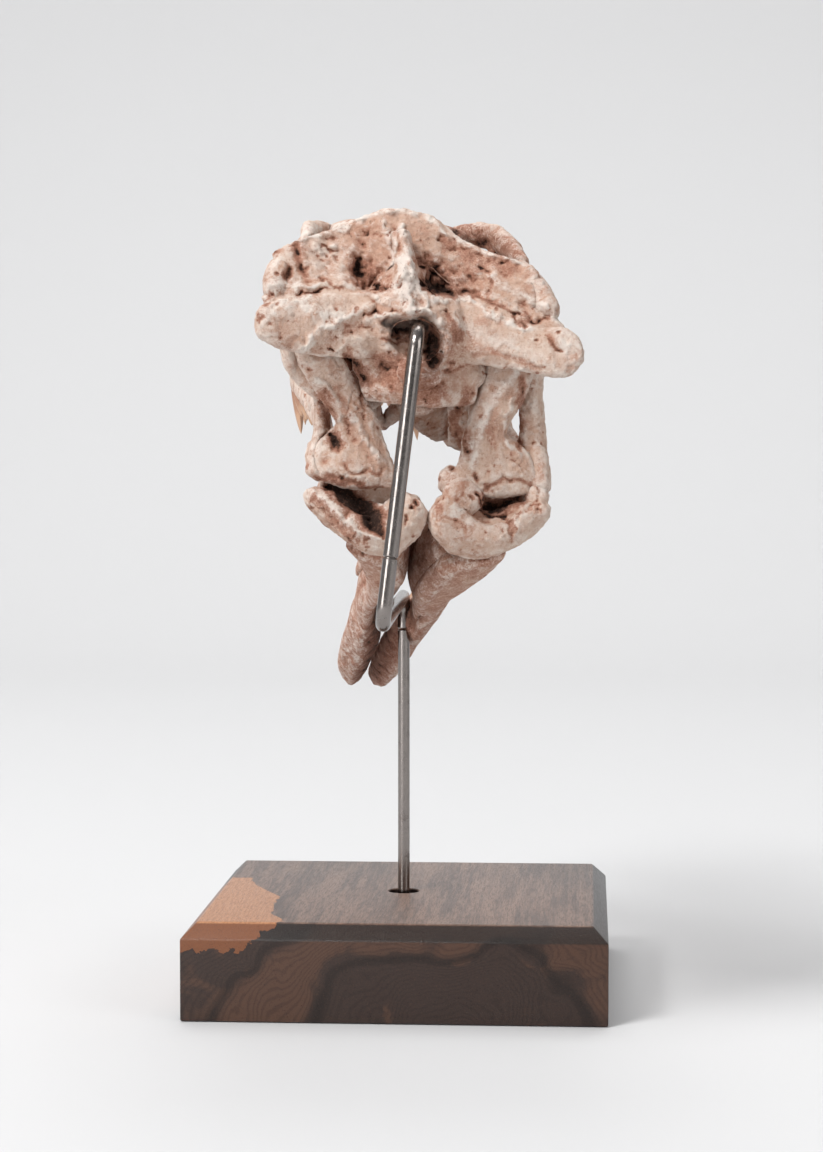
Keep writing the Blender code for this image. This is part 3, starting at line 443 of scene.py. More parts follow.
@dataclass(frozen=True)
class WoodFinish:
    """Dark figured hardwood with one patch of orange sapwood at a corner, and painted shade on the
    bevel and on the sapwood below the top.

    Attributes:
        heart, warm, vein: the dark wood, its warm zones and its darkest lines.
        planed, planed_pale, planed_dark: the drier wood of the top.
        sap, sap_dark, sap_shade: the sapwood, its fibres and its darker tone below the top, which
            is painted shade on the bevel and front.
        pith: x and z that the rings run round, in millimetres.
        squash: how much wider than tall the rings are.
        ring: the distance between rings, in millimetres.
        zone: the reaches, in millimetres, between which the wood is warm; a dark vein
            runs along each.
        top, bevel_foot: heights of the top face and of the bevel's lower edge.
        half: half the block's side, in millimetres.
        sap_edge: where the sapwood ends, as pairs of the distance up the front and back
            over the top, and x, in millimetres.
    """

    name: str = "dark_hardwood"
    heart: Triple = (0.036, 0.022, 0.018)
    warm: Triple = (0.085, 0.042, 0.027)
    vein: Triple = (0.010, 0.007, 0.006)
    sap: Triple = (0.44, 0.205, 0.095)
    sap_dark: Triple = (0.27, 0.11, 0.046)
    sap_shade: Triple = (0.14, 0.047, 0.02)
    planed: Triple = (0.085, 0.052, 0.040)
    planed_pale: Triple = (0.30, 0.185, 0.135)
    planed_dark: Triple = (0.05, 0.03, 0.023)
    pith: Pair = (17.0, -1.0)
    squash: float = 1.7
    ring: float = 1.1
    zone: Pair = (20.5, 34.0)
    top: float = 25.0
    bevel_foot: float = 21.0
    half: float = 54.5
    sap_edge: tuple[Pair, ...] = (
        (0.0, -60.0), (17.6, -58.0), (18.9, -38.0), (21.0, -35.0), (25.0, -33.0),
        (29.0, -28.0), (33.0, -28.8), (42.0, -33.2), (52.5, -33.4), (68.0, -33.6),
        (76.0, -37.5), (88.0, -43.0), (98.0, -44.5), (100.0, -58.0), (110.0, -60.0),
    )

    def sapwood(self, g: Graph, at: NodeSocket, jag: NodeSocket) -> NodeSocket:
        """The patch of sapwood, with a torn edge.

        Args:
            g: the material's graph.
            at: the place on the block, in millimetres.
            jag: the noise that tears the edge.

        Returns:
            1 inside the patch and 0 outside it.
        """
        span, wide = self.sap_edge[-1][0], -self.sap_edge[0][1]
        parts = g.parts(at)
        torn = g.less(jag, 0.5)
        over = g.plus(g.plus(parts[1], parts[2]), self.half)
        ragged = g.plus(over, g.times(torn, 9.0))
        curve = g.add("ShaderNodeFloatCurve", {"Value": g.math("DIVIDE", ragged, span)})
        points = curve.mapping.curves[0].points
        stops = [(along / span, (edge + wide) / wide) for along, edge in self.sap_edge]
        points[0].location, points[-1].location = stops[0], stops[-1]
        for stop in stops[1:-1]:
            points.new(*stop)
        for point in points:
            point.handle_type = "VECTOR"
        curve.mapping.update()
        edge = g.less(g.times(curve.outputs[0], wide), wide)
        inside = g.plus(g.less(edge, parts[0]), g.times(torn, 5.0))
        return g.ramp(inside, -0.15, 0.35)

    def rings(self, g: Graph, at: NodeSocket, cloud: NodeSocket, figure: NodeSocket) -> tuple:
        """The rings round the pith.

        Args:
            g: the material's graph.
            at: the place on the block, in millimetres.
            cloud, figure: fine and broad noise that bend the rings.

        Returns:
            The distance from the pith, the rings and the dark veins along the zone's edges.
        """
        parts = g.parts(at)
        across = g.math("DIVIDE", g.less(parts[0], self.pith[0]), self.squash)
        up = g.less(parts[2], self.pith[1])
        reach = g.math("SQRT", g.plus(g.math("POWER", across, 2.0), g.math("POWER", up, 2.0)))
        reach = g.plus(reach, g.times(g.less(figure, 0.5), 26.0))
        turns = g.times(g.plus(reach, g.times(cloud, 6.0)), 2 * math.pi / self.ring)
        rings = g.plus(g.times(g.math("SINE", turns), 0.5), 0.5)
        veins = [
            g.ramp(g.math("ABSOLUTE", g.less(reach, middle)), wide, 0.2)
            for middle, wide in zip(self.zone, (1.7, 1.5))
        ]
        return reach, rings, g.plus(*veins, clamp=True)

    def build(self) -> Material:
        """Make the material: rings, veins, warm zones, fibres, pores and the sapwood, with painted
        shade on the bevel and below the top.

        Returns:
            The material.
        """
        made, g, shader = new_material(self.name)
        at = g.place()
        swirl = g.drifted(at, g.scaled(at, (1, 0.30, 1)), 0.030, 2, (26, 6, 26))
        figure = g.noise(g.scaled(swirl, (1.0, 0.14, 1.0)), 0.030, 2, 0.45)
        cloud = g.noise(g.scaled(swirl, (1.0, 0.10, 1.0)), 0.060, 4, 0.6)
        fibre = g.noise(g.scaled(at, (2.4, 0.16, 2.4)), 1.0, 6, 0.72)
        pores = g.noise(g.scaled(at, (5.2, 0.60, 5.2)), 1.0, 2, 0.5)
        jag = g.noise(g.scaled(at, (1.0, 0.6, 1.0)), 0.30, 4, 0.6)
        streak = g.noise(g.scaled(at, (0.9, 0.045, 0.9)), 1.0, 4, 0.6)
        height = g.parts(at)[2]
        reach, rings, vein = self.rings(g, at, cloud, figure)

        near, far = self.zone
        zone = g.times(g.ramp(reach, near, near + 2.5), g.ramp(reach, far + 1.0, far - 3.0))
        zone = g.times(zone, g.ramp(cloud, 0.36, 0.52))
        warmth = g.math("MAXIMUM", zone, g.times(g.ramp(cloud, 0.55, 0.64), 0.8))
        colour = g.mix(g.times(warmth, 0.85), self.heart, self.warm)
        fine = g.times(g.ramp(rings, 0.45, 0.95), g.ramp(cloud, 0.25, 0.5))
        colour = g.mix(g.times(fine, 0.26), colour, self.vein)
        colour = g.mix(g.times(vein, 0.6), colour, self.vein)

        lit = g.ramp(height, self.top - 0.4, self.top - 0.1)
        band = g.ramp(g.plus(g.times(streak, 0.5), g.times(cloud, 0.5)), 0.40, 0.60)
        planed = g.mix(band, self.planed, self.planed_pale)
        planed = g.mix(g.times(g.ramp(fibre, 0.44, 0.62), 0.65), planed, self.planed_dark)
        colour = g.mix(g.times(lit, 0.72), colour, planed)
        colour = g.mix(g.times(g.ramp(fibre, 0.50, 0.74), 0.42), colour, self.warm)
        colour = g.mix(g.times(g.ramp(fibre, 0.46, 0.28), 0.5), colour, self.vein)

        sap = g.mix(g.ramp(fibre, 0.42, 0.72), self.sap, self.sap_dark)
        sap = g.mix(g.times(g.ramp(rings, 0.4, 0.9), 0.25), sap, self.sap_dark)
        # Painted shade: the sapwood below the top is darkened.
        sunk = g.ramp(height, self.top - 0.2, self.top - 0.6)
        sap = g.mix(g.times(sunk, 0.88), sap, self.sap_shade)
        # Painted shade: the bevel is darkened toward the vein colour.
        bevel = g.times(sunk, g.ramp(height, self.bevel_foot - 0.4, self.bevel_foot + 0.2))
        colour = g.mix(bevel, colour, g.mix(0.8, colour, self.vein))
        colour = g.mix(self.sapwood(g, at, jag), colour, sap)
        holes = g.ramp(g.plus(pores, g.times(lit, 0.03)), 0.61, 0.70)
        colour = g.mix(g.times(holes, 0.75), colour, self.vein)
        rough = g.plus(0.20, g.times(fibre, 0.22))
        bump = g.less(g.times(fibre, 0.9), holes)
        dress(g, shader, colour, rough, (bump, 0.45, 0.3 * MM))
        shader.inputs["Specular IOR Level"].default_value = 0.30
        return made


@dataclass(frozen=True)
class PaperFinish:
    """The plain pale sweep that the specimen stands on."""

    name: str = "pale_sweep"
    colour: Triple = (0.59, 0.59, 0.593)

    def build(self) -> Material:
        """Make the material: one pale tone with a faint tooth.

        Returns:
            The material.
        """
        made, g, shader = new_material(self.name)
        at = g.add("ShaderNodeTexCoord").outputs["Object"]
        tone = tuple(part * 0.985 for part in self.colour)
        dress(g, shader, g.mix(g.noise(at, 900, 2), self.colour, tone), 0.9)
        return made


# --- Working a surface --------------------------------------------------------------


class View(Enum):
    """A side a mark is drawn on: across, up and depth axes, and which way the side faces."""

    REAR = (0, 2, 1, -1)
    RIGHT = (1, 2, 0, 1)
    LEFT = (1, 2, 0, -1)
    TOP = (0, 1, 2, 1)
    BELOW = (0, 1, 2, -1)


ANY_DEPTH = (-60.0, 60.0)


@dataclass(frozen=True)
class Mark:
    """A groove, pit, ridge, dome, stain or patch of painted shade, drawn as a point or a line on
    one side of a bone.

    Attributes:
        path: one point or more on that side, in the bone's frame, in millimetres.
        wide: how far it reaches from the path.
        deep: how far it goes in, or stands proud if negative.
        rust, grey, pale: how much of each tint it holds; the rust tint is stain, and painted shade
            where it darkens holes, slots and recesses.
        view: the side it is drawn on.
        reach: the range of the depth axis in which it works.
        edge: above 1 for a narrower, sharper profile.
    """

    path: tuple[Pair, ...]
    wide: float
    deep: float = 0.0
    rust: float = 0.0
    grey: float = 0.0
    pale: float = 0.0
    view: View = View.REAR
    reach: Pair = ANY_DEPTH
    edge: float = 1.0

    def falloff(self, points: np.ndarray) -> np.ndarray:
        """How strongly each point feels the mark.

        Args:
            points: rows of x, y and z in the bone's frame, in millimetres.

        Returns:
            One number for each point, from 0 to 1.
        """
        across, up, depth, _ = self.view.value
        flat = points[:, (across, up)]
        path = np.array(self.path, dtype=float)
        if len(path) == 1:
            gap = np.linalg.norm(flat - path[0], axis=1)
        else:
            gap = np.full(len(flat), np.inf)
            for start, end in zip(path[:-1], path[1:]):
                span = end - start
                along = np.clip(((flat - start) @ span) / (span @ span), 0.0, 1.0)
                gap = np.minimum(gap, np.linalg.norm(flat - start - along[:, None] * span, axis=1))
        near = np.clip(1.0 - gap / self.wide, 0.0, 1.0)
        low, high = self.reach
        level = points[:, depth]
        near = near * np.clip(level - low, 0.0, 1.0) * np.clip(high - level, 0.0, 1.0)
        return (near * near * (3.0 - 2.0 * near)) ** self.edge


class Grain:
    """Smooth 3-D noise, the same on every run for a seed."""

    def __init__(self, seed: int) -> None:
        """Draw the order of the cells and the slopes at their corners.

        Args:
            seed: the same seed gives the same noise.
        """
        rng = np.random.default_rng(seed)
        self.order = rng.permutation(256)
        arrows = rng.normal(size=(256, 3))
        self.arrows = arrows / np.linalg.norm(arrows, axis=1)[:, None]

    def single(self, points: np.ndarray) -> np.ndarray:
        """One layer of noise, with cells one unit wide.

        Args:
            points: rows of x, y and z.

        Returns:
            One number for each point, about -1 to 1.
        """
        cell = np.floor(points).astype(int)
        part = points - cell
        ease = part**3 * (part * (part * 6 - 15) + 10)
        total = np.zeros(len(points))
        for corner in np.ndindex(2, 2, 2):
            x, y, z = (cell + corner).T
            pick = self.order[(self.order[(self.order[x & 255] + y) & 255] + z) & 255]
            weight = np.prod(np.where(corner, ease, 1.0 - ease), axis=1)
            total += weight * np.sum((part - corner) * self.arrows[pick], axis=1)
        return total * 1.6

    def layered(self, points: np.ndarray, size: float, layers: int = 3) -> np.ndarray:
        """Layers of noise, each half the size and strength of the one before.

        Args:
            points: rows of x, y and z.
            size: how wide the first layer's cells are.
            layers: how many there are.

        Returns:
            One number for each point.
        """
        total = np.zeros(len(points))
        for i in range(layers):
            total += 0.5**i * self.single(points * 2**i / size + 17.0 * i)
        return total


def linked(name: str, data: bpy.types.ID) -> Object:
    """Make an object of some data.

    Args:
        name: the object's name.
        data: its mesh, light or camera.

    Returns:
        The object, linked to the scene.
    """
    obj = bpy.data.objects.new(name, data)
    bpy.context.scene.collection.objects.link(obj)
    return obj


def new_object(name: str, points: np.ndarray, faces: list) -> Object:
    """A mesh object.

    Args:
        name: its name.
        points: rows of x, y and z, in metres.
        faces: the points' numbers in each face.

    Returns:
        The object, linked to the scene.
    """
    mesh = bpy.data.meshes.new(name)
    mesh.from_pydata(points.tolist(), [], faces)
    mesh.update()
    return linked(name, mesh)


def applied(obj: Object) -> None:
    """Replace the mesh by what the modifiers make of it, and remove them.

    Args:
        obj: the object.
    """
    bpy.context.view_layer.update()
    graph = bpy.context.evaluated_depsgraph_get()
    mesh = bpy.data.meshes.new_from_object(obj.evaluated_get(graph))
    obj.modifiers.clear()
    obj.data = mesh


def placed(shape: bmesh.types.BMesh, name: str) -> Object:
    """Make an object of a shape drawn in millimetres.

    Args:
        shape: is scaled to metres and freed.
        name: the object's name.

    Returns:
        The object, linked to the scene.
    """
    bmesh.ops.scale(shape, vec=(MM, MM, MM), verts=shape.verts)
    mesh = bpy.data.meshes.new(name)
    shape.to_mesh(mesh)
    shape.free()
    return linked(name, mesh)


def dressed(obj: Object, finish: Material, sharp: float = 0.0) -> None:
    """Give the object its one material and smooth shading.

    Args:
        obj: the piece.
        finish: its material.
        sharp: the angle, in degrees, above which an edge stays sharp; 0 for none.
    """
    obj.data.materials.clear()
    obj.data.materials.append(finish)
    obj.data.shade_smooth()
    if sharp:
        obj.data.set_sharp_from_angle(angle=math.radians(sharp))


def walls(shape: bmesh.types.BMesh, rings: list[list]) -> None:
    """Join each ring of vertices to the next by quads.

    Args:
        shape: holds the vertices and takes the faces.
        rings: the vertices of each ring, in order round it.
    """
    for lower, upper in zip(rings, rings[1:]):
        for j in range(len(lower)):
            k = (j + 1) % len(lower)
            shape.faces.new((lower[j], lower[k], upper[k], upper[j]))


def tube_faces(rings: int, sides: int) -> list[tuple]:
    """The quads of a tube whose points are stored ring after ring, then its first end.

    Args:
        rings: how many rings it has.
        sides: how many points each has.

    Returns:
        The points' numbers in each face.
    """
    faces = []
    for i in range(rings - 1):
        for j in range(sides):
            k = (j + 1) % sides
            faces.append((i * sides + j, i * sides + k, (i + 1) * sides + k, (i + 1) * sides + j))
    return [*faces, tuple(range(sides - 1, -1, -1))]


def points_of(mesh: Mesh, what: str = "co") -> np.ndarray:
    """Read one row for each vertex.

    Args:
        mesh: the mesh.
        what: "co" for positions or "normal" for normals.

    Returns:
        Rows of x, y and z.
    """
    flat = np.empty(len(mesh.vertices) * 3, np.float32)
    mesh.vertices.foreach_get(what, flat)
    return flat.reshape(-1, 3).astype(float)


def put_points(mesh: Mesh, points: np.ndarray) -> None:
    """Write vertex positions back."""
    mesh.vertices.foreach_set("co", points.astype(np.float32).ravel())
    mesh.update()


def put_number(mesh: Mesh, name: str, values: np.ndarray) -> None:
    """Store one number for each vertex."""
    layer = mesh.attributes.get(name) or mesh.attributes.new(name, "FLOAT", "POINT")
    layer.data.foreach_set("value", values.astype(np.float32))


def relief_of(
    mesh: Mesh, points: np.ndarray, normals: np.ndarray, rounds: list[int]
) -> list[np.ndarray]:
    """How far each vertex stands above (or below) its smoothed surroundings, in metres.

    Args:
        mesh: gives the edges to smooth along.
        points, normals: its vertices.
        rounds: how many times to smooth, in rising order.

    Returns:
        One array for each number of rounds.
    """
    ends = np.empty(len(mesh.edges) * 2, np.int32)
    mesh.edges.foreach_get("vertices", ends)
    one, two = ends.reshape(-1, 2).T
    many = len(points)
    count = np.bincount(one, minlength=many) + np.bincount(two, minlength=many)
    smooth, found = points.copy(), []
    for i in range(rounds[-1]):
        for axis in range(3):
            old = smooth[:, axis]
            total = np.bincount(one, old[two], many) + np.bincount(two, old[one], many)
            smooth[:, axis] = total / np.maximum(count, 1)
        if i + 1 in rounds:
            found.append(np.sum((points - smooth) * normals, axis=1))
    return found


def lofted(lean: Triple, *stations: Five) -> Shape:
    """A closed bar through stations.

    Args:
        lean: the way its width lies.
        *stations: x, y, z, half width and half thickness, in a bone frame, in millimetres.

    Returns:
        Its points, in millimetres, and its faces.
    """
    sides, steps = 14, 5
    rows = np.array(stations, dtype=float)
    rows = np.vstack([2 * rows[0] - rows[1], rows, 2 * rows[-1] - rows[-2]])
    path = []
    for i in range(1, len(rows) - 2):
        before, start, end, after = rows[i - 1 : i + 3]
        for t in np.linspace(0, 1, steps, endpoint=False):
            bend = 1.5 * start - 1.5 * end + 0.5 * after - 0.5 * before
            curve = before - 2.5 * start + 2 * end - 0.5 * after
            path.append(start + 0.5 * t * (end - before) + t * t * curve + t**3 * bend)
    path = np.array([*path, rows[-2]])
    angles = 2 * np.pi * (np.arange(sides) + 0.5) / sides
    points = []
    for i, row in enumerate(path):
        along = path[min(i + 1, len(path) - 1)][:3] - path[max(i - 1, 0)][:3]
        along /= np.linalg.norm(along)
        across = np.array(lean) - (np.array(lean) @ along) * along
        across /= np.linalg.norm(across)
        other = np.cross(along, across)
        ring = np.outer(np.cos(angles) * row[3], across) + np.outer(np.sin(angles) * row[4], other)
        points.extend(row[:3] + ring)
    far_end = tuple(range(len(points) - sides, len(points)))
    return np.array(points), [*tube_faces(len(path), sides), far_end]


def ball(at: Triple, radii: Triple) -> Shape:
    """A rounded lump.

    Args:
        at: its centre in a bone frame, in millimetres.
        radii: its half sizes along x, y and z.

    Returns:
        Its points, in millimetres, and its faces.
    """
    shape = bmesh.new()
    bmesh.ops.create_icosphere(shape, subdivisions=3, radius=1.0)
    points = np.array([vert.co for vert in shape.verts]) * np.array(radii) + np.array(at)
    faces = [tuple(vert.index for vert in face.verts) for face in shape.faces]
    shape.free()
    return points, faces


# --- Bones ----------------------------------------------------------------------------


@dataclass(frozen=True)
class Skin:
    """How one bone's surface is remade.

    Attributes:
        voxel: size of the remesh, in millimetres.
        melt: rounds of smoothing that take the solid's facets away.
        swell: how far the skin is pushed out again, to meet its neighbours.
        uneven: height of the coarse unevenness, in millimetres.
        grain: height of the fine porous grain, in millimetres.
        crack: depth of the drying cracks, in millimetres.
        long: how far the unevenness is drawn out along the bone, 1 for not at all.
        pores: share of the surface that is porous.
    """

    voxel: float = 0.6
    melt: int = 26
    swell: float = 0.46
    uneven: float = 0.30
    grain: float = 0.06
    crack: float = 0.30
    long: float = 0.3
    pores: float = 0.3


@dataclass(frozen=True)
class Weather:
    """Sizes of the noise that weathers every bone, in millimetres.

    Attributes:
        wander: of the waves in which marks stray.
        stray: how far they stray.
        torn: of the patches in which a mark is weaker or stronger.
        swells, ripples: of the coarse and the fine unevenness.
        cracks, cracked: of the meshes of the cracks, and of the patches that have them.
        thin: half a crack's width, as a share of its mesh.
        chips: of the chipped spots.
    """

    wander: float = 3.6
    stray: float = 0.95
    torn: float = 2.6
    swells: float = 9.0
    ripples: float = 3.0
    cracks: float = 11.0
    cracked: float = 14.0
    thin: float = 0.03
    chips: float = 1.9


ROCK = Grain(11)
WEATHER = Weather()
PLAIN = Skin()
FINE = Skin(0.40, melt=18, swell=0.44, uneven=0.42, grain=0.22, crack=0.42, long=1.0, pores=0.5)
CHIPPED = replace(FINE, melt=8, swell=0.40, grain=0.24)
FACING = 0.25  # how far past its edge a mark still works on a turned surface, as a cosine
# The fine relief darkens creases with painted shade and pales worn edges; the broad one paints
# shade in hollows and highlight on ridges.
RELIEF = (("relief", 14, 0.45), ("form", 80, 1.1))  # rounds of smoothing, and full height in mm


@dataclass
class FossilBone:
    """One bone remade from its solid: joined, remeshed, marked, roughened and coloured.

    Attributes:
        node: the solid it stands for.
        place: the frame it is worked in.
        marks: what is cut into it.
        skin: how its surface is remade.
        extras: closed shapes that fill it out where the bone is continuous.
        tint: rust, grey and pale that the whole bone holds.
        slot: which material it takes: "jaw_bone" gives it the jaw's finish and presses its plain
            teeth down to the gum; "skull_bone" gives it the skull's.
        gum: where a tooth row starts, as pairs of y and z; the plain teeth past it are
            pressed flat, and detailed crowns take their place.
    """

    node: str
    place: BoneFrame
    marks: tuple[Mark, ...]
    skin: Skin = PLAIN
    extras: tuple[Shape, ...] = ()
    tint: Triple = (0.0, 0.0, 0.0)
    slot: str = "skull_bone"
    gum: tuple[Pair, ...] = ()

    def raw(self) -> Object:
        """Copy the node's own mesh and join it with the extra shapes.

        Returns:
            The new object, with its plain teeth pressed flat.
        """
        obj = linked(f"{self.node}_skin", bpy.data.objects[self.node].data.copy())
        if self.extras:
            shape = bmesh.new()
            shape.from_mesh(obj.data)
            for points, faces in self.extras:
                made = [shape.verts.new(point) for point in self.place.world(points)]
                for face in faces:
                    shape.faces.new([made[i] for i in face])
            shape.to_mesh(obj.data)
            shape.free()
        if self.gum:
            local = self.place.local(points_of(obj.data))
            margin = np.interp(local[:, 1], *zip(*self.gum))
            up = self.slot == "jaw_bone"
            keep = np.minimum if up else np.maximum
            local[:, 2] = keep(local[:, 2], margin)
            put_points(obj.data, self.place.world(local, pressed=False))
        return obj

    def remesh(self, obj: Object) -> None:
        """Remake the mesh in small even faces and smooth it.

        Args:
            obj: the bone.
        """
        step = obj.modifiers.new("Remesh", "REMESH")
        step.mode = "VOXEL"
        step.voxel_size = self.skin.voxel * MM * 1.0
        smooth = obj.modifiers.new("Melt", "SMOOTH")
        smooth.factor = 0.5
        smooth.iterations = self.skin.melt
        applied(obj)

    def carve(self, local: np.ndarray, facing: np.ndarray) -> np.ndarray:
        """Push the points in and out by the marks.

        Args:
            local: the points in the bone's frame, in millimetres; they are moved in place.
            facing: their normals in that frame.

        Returns:
            The rust, grey and pale of each point.
        """
        waves = [ROCK.layered(local + 31.0 * i, WEATHER.wander, 3) for i in range(3)]
        felt = local + WEATHER.stray * np.stack(waves, axis=1)
        torn = 0.85 + 0.75 * ROCK.layered(local + 90.0, WEATHER.torn, 2)
        tints = np.tile(np.array(self.tint), (len(local), 1))
        low, high = felt.min(axis=0), felt.max(axis=0)
        for mark in self.marks:
            across, up, depth, side = mark.view.value
            path = np.array(mark.path)
            least, most = path.min(axis=0) - mark.wide, path.max(axis=0) + mark.wide
            if (least > high[[across, up]]).any() or (most < low[[across, up]]).any():
                continue
            flat = felt[:, (across, up)]
            near = np.flatnonzero(((flat > least) & (flat < most)).all(axis=1))
            if not len(near):
                continue
            share = mark.falloff(felt[near])
            turned = np.clip((facing[near, depth] * side + FACING) / (1 - FACING), 0.0, 1.0)
            weight = share * turned * np.clip(torn[near], 0.2, 1.6)
            local[near, depth] -= side * mark.deep * weight
            held = share * np.clip(turned * 1.5, 0, 1)
            tints[near] += np.outer(held, (mark.rust, mark.grey, mark.pale))
        return tints

    def work(self, obj: Object) -> None:
        """Push the skin in and out by the marks and by noise, and store the tints.

        Each number added to the points picks a part of the noise of its own.

        Args:
            obj: the remeshed bone.
        """
        mesh = obj.data
        world, normals = points_of(mesh), points_of(mesh, "normal")
        world += normals * self.skin.swell * MM
        local, facing = self.place.local(world), normals @ self.place.spin()
        tints = self.carve(local, facing)
        drawn = local * (1.0, self.skin.long, 1.0)
        bumps = ROCK.layered(drawn, WEATHER.swells, 2)
        bumps += 0.42 * ROCK.layered(drawn + 50, WEATHER.ripples, 4)
        veins = np.abs(ROCK.layered(local + 140.0, WEATHER.cracks, 3)) / WEATHER.thin
        crack = np.clip(ROCK.layered(local + 200.0, WEATHER.cracked, 1) * 4 - 0.7, 0, 1)
        crack *= np.clip(1.0 - veins, 0.0, 1.0)
        chips = np.clip(ROCK.layered(drawn + 260.0, WEATHER.chips, 2) - 0.5, 0.0, 1.0)
        push = self.skin.uneven * bumps - self.skin.crack * crack - 0.9 * self.skin.uneven * chips
        local += facing * push[:, None]
        tints[:, 0] += 0.4 * crack + 0.35 * chips
        put_points(mesh, self.place.world(local, pressed=False))
        for i, name in enumerate(("rust", "grey", "pale")):
            put_number(mesh, name, np.clip(tints[:, i], 0.0, 2.0))

    def build(self, fossil: "FossilSkin", finish: Material) -> Object:
        """Make the whole bone and hand it to the frame.

        Args:
            fossil: the Geometry Nodes tree of the porous skin.
            finish: the bone's material.

        Returns:
            The finished object.
        """
        obj = self.raw()
        self.remesh(obj)
        self.work(obj)
        fossil.apply(obj, self.skin, sum(map(ord, self.node)) % 97)
        mesh = obj.data
        world, normals = points_of(mesh), points_of(mesh, "normal")
        # Heights above the smoothed surface, from which the material paints shade in hollows and
        # highlight on ridges.
        heights = relief_of(mesh, world, normals, [rounds for _, rounds, _ in RELIEF])
        for (name, _, full), height in zip(RELIEF, heights):
            put_number(mesh, name, np.clip(height / (full * MM), -1.5, 1.5))
        dressed(obj, finish)
        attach(obj, BODY)
        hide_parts(self.node)
        log.info("%s: %d vertices", self.node, len(mesh.vertices))
        return obj


class FossilSkin:
    """Geometry Nodes that lay a fine porous grain over a bone."""

    NUMBERS = (
        ("Grain size", 1.0),
        ("Grain height", 0.12),
        ("Pore size", 1.5),
        ("Pore depth", 0.28),
        ("Pore cover", 0.5),
        ("Seed", 0.0),
    )

    def __init__(self, finish: Material) -> None:
        """Make the tree with its named inputs.

        Args:
            finish: the material that it sets.
        """
        self.tree = bpy.data.node_groups.new("fossil_skin", "GeometryNodeTree")
        face = self.tree.interface
        face.new_socket("Geometry", in_out="INPUT", socket_type="NodeSocketGeometry")
        self.socket = {}
        for name, value in self.NUMBERS:
            socket = face.new_socket(name, in_out="INPUT", socket_type="NodeSocketFloat")
            socket.default_value = value
            self.socket[name] = socket.identifier
        socket = face.new_socket("Finish", in_out="INPUT", socket_type="NodeSocketMaterial")
        self.socket["Finish"] = socket.identifier
        face.new_socket("Geometry", in_out="OUTPUT", socket_type="NodeSocketGeometry")
        self.finish = finish
        self.wire()

    def wire(self) -> None:
        """Build the tree: layered noise and pores, pushed along the normal."""
        g = Graph(self.tree)
        given = g.add("NodeGroupInput").outputs
        at = g.longer(g.add("GeometryNodeInputPosition").outputs[0], 1000.0)
        seeded = {"Vector": at, "W": given["Seed"]}
        grains = {"Scale": g.math("DIVIDE", 1.0, given["Grain size"]), "Detail": 3.0}
        fine = g.add("ShaderNodeTexNoise", {**seeded, **grains}, noise_dimensions="4D")
        zones = {"Scale": 0.11, "Detail": 2.0}
        wide = g.add("ShaderNodeTexNoise", {**seeded, **zones}, noise_dimensions="4D")
        pores = {"Scale": g.math("DIVIDE", 1.0, given["Pore size"])}
        cells = g.add("ShaderNodeTexVoronoi", {**seeded, **pores}, voronoi_dimensions="4D")
        grain = g.times(g.less(fine.outputs[0], 0.5), g.times(given["Grain height"], 2.0))
        hole = g.ramp(cells.outputs["Distance"], 0.42, 0.16)
        start, full = (g.less(edge, given["Pore cover"]) for edge in (0.85, 0.98))
        cover = g.ramp(wide.outputs[0], start, full)
        pit = g.times(g.times(hole, cover), given["Pore depth"])
        height = g.times(g.less(grain, pit), MM)
        push = g.longer(g.add("GeometryNodeInputNormal").outputs[0], height)
        inputs = {"Geometry": given["Geometry"], "Offset": push}
        moved = g.add("GeometryNodeSetPosition", inputs).outputs[0]
        real = g.add("GeometryNodeRealizeInstances", {"Geometry": moved}).outputs[0]
        inputs = {"Geometry": real, "Material": given["Finish"]}
        done = g.add("GeometryNodeSetMaterial", inputs).outputs[0]
        g.add("NodeGroupOutput", {"Geometry": done})

    def apply(self, obj: Object, skin: Skin, seed: float) -> None:
        """Lay the grain over the object and make it real.

        Args:
            obj: the bone.
            skin: gives the grain's height and the share that is porous.
            seed: sets the noise.
        """
        step = obj.modifiers.new("Fossil skin", "NODES")
        step.node_group = self.tree
        step[self.socket["Grain height"]] = skin.grain * 1.6
        step[self.socket["Pore cover"]] = skin.pores
        step[self.socket["Seed"]] = float(seed)
        step[self.socket["Finish"]] = self.finish
        applied(obj)


# --- What is cut into the skull ----------------------------------------------------------


def line(*points: Pair, wide: float, **more: float | Pair | View) -> Mark:
    """A mark along a line of points."""
    return Mark(tuple(points), wide, **more)


def spot(x: float, z: float, wide: float, **more: float | Pair | View) -> Mark:
    """A round mark."""
    return Mark(((x, z),), wide, **more)


def reaching(reach: Pair, *marks: Mark) -> tuple[Mark, ...]:
    """Give marks on the rear a common reach.

    Args:
        reach: the range of depth for those that have none of their own.
        *marks: the marks.

    Returns:
        The marks in their order.
    """
    free = [mark.view is View.REAR and mark.reach == ANY_DEPTH for mark in marks]
    return tuple(replace(m, reach=reach) if loose else m for m, loose in zip(marks, free))


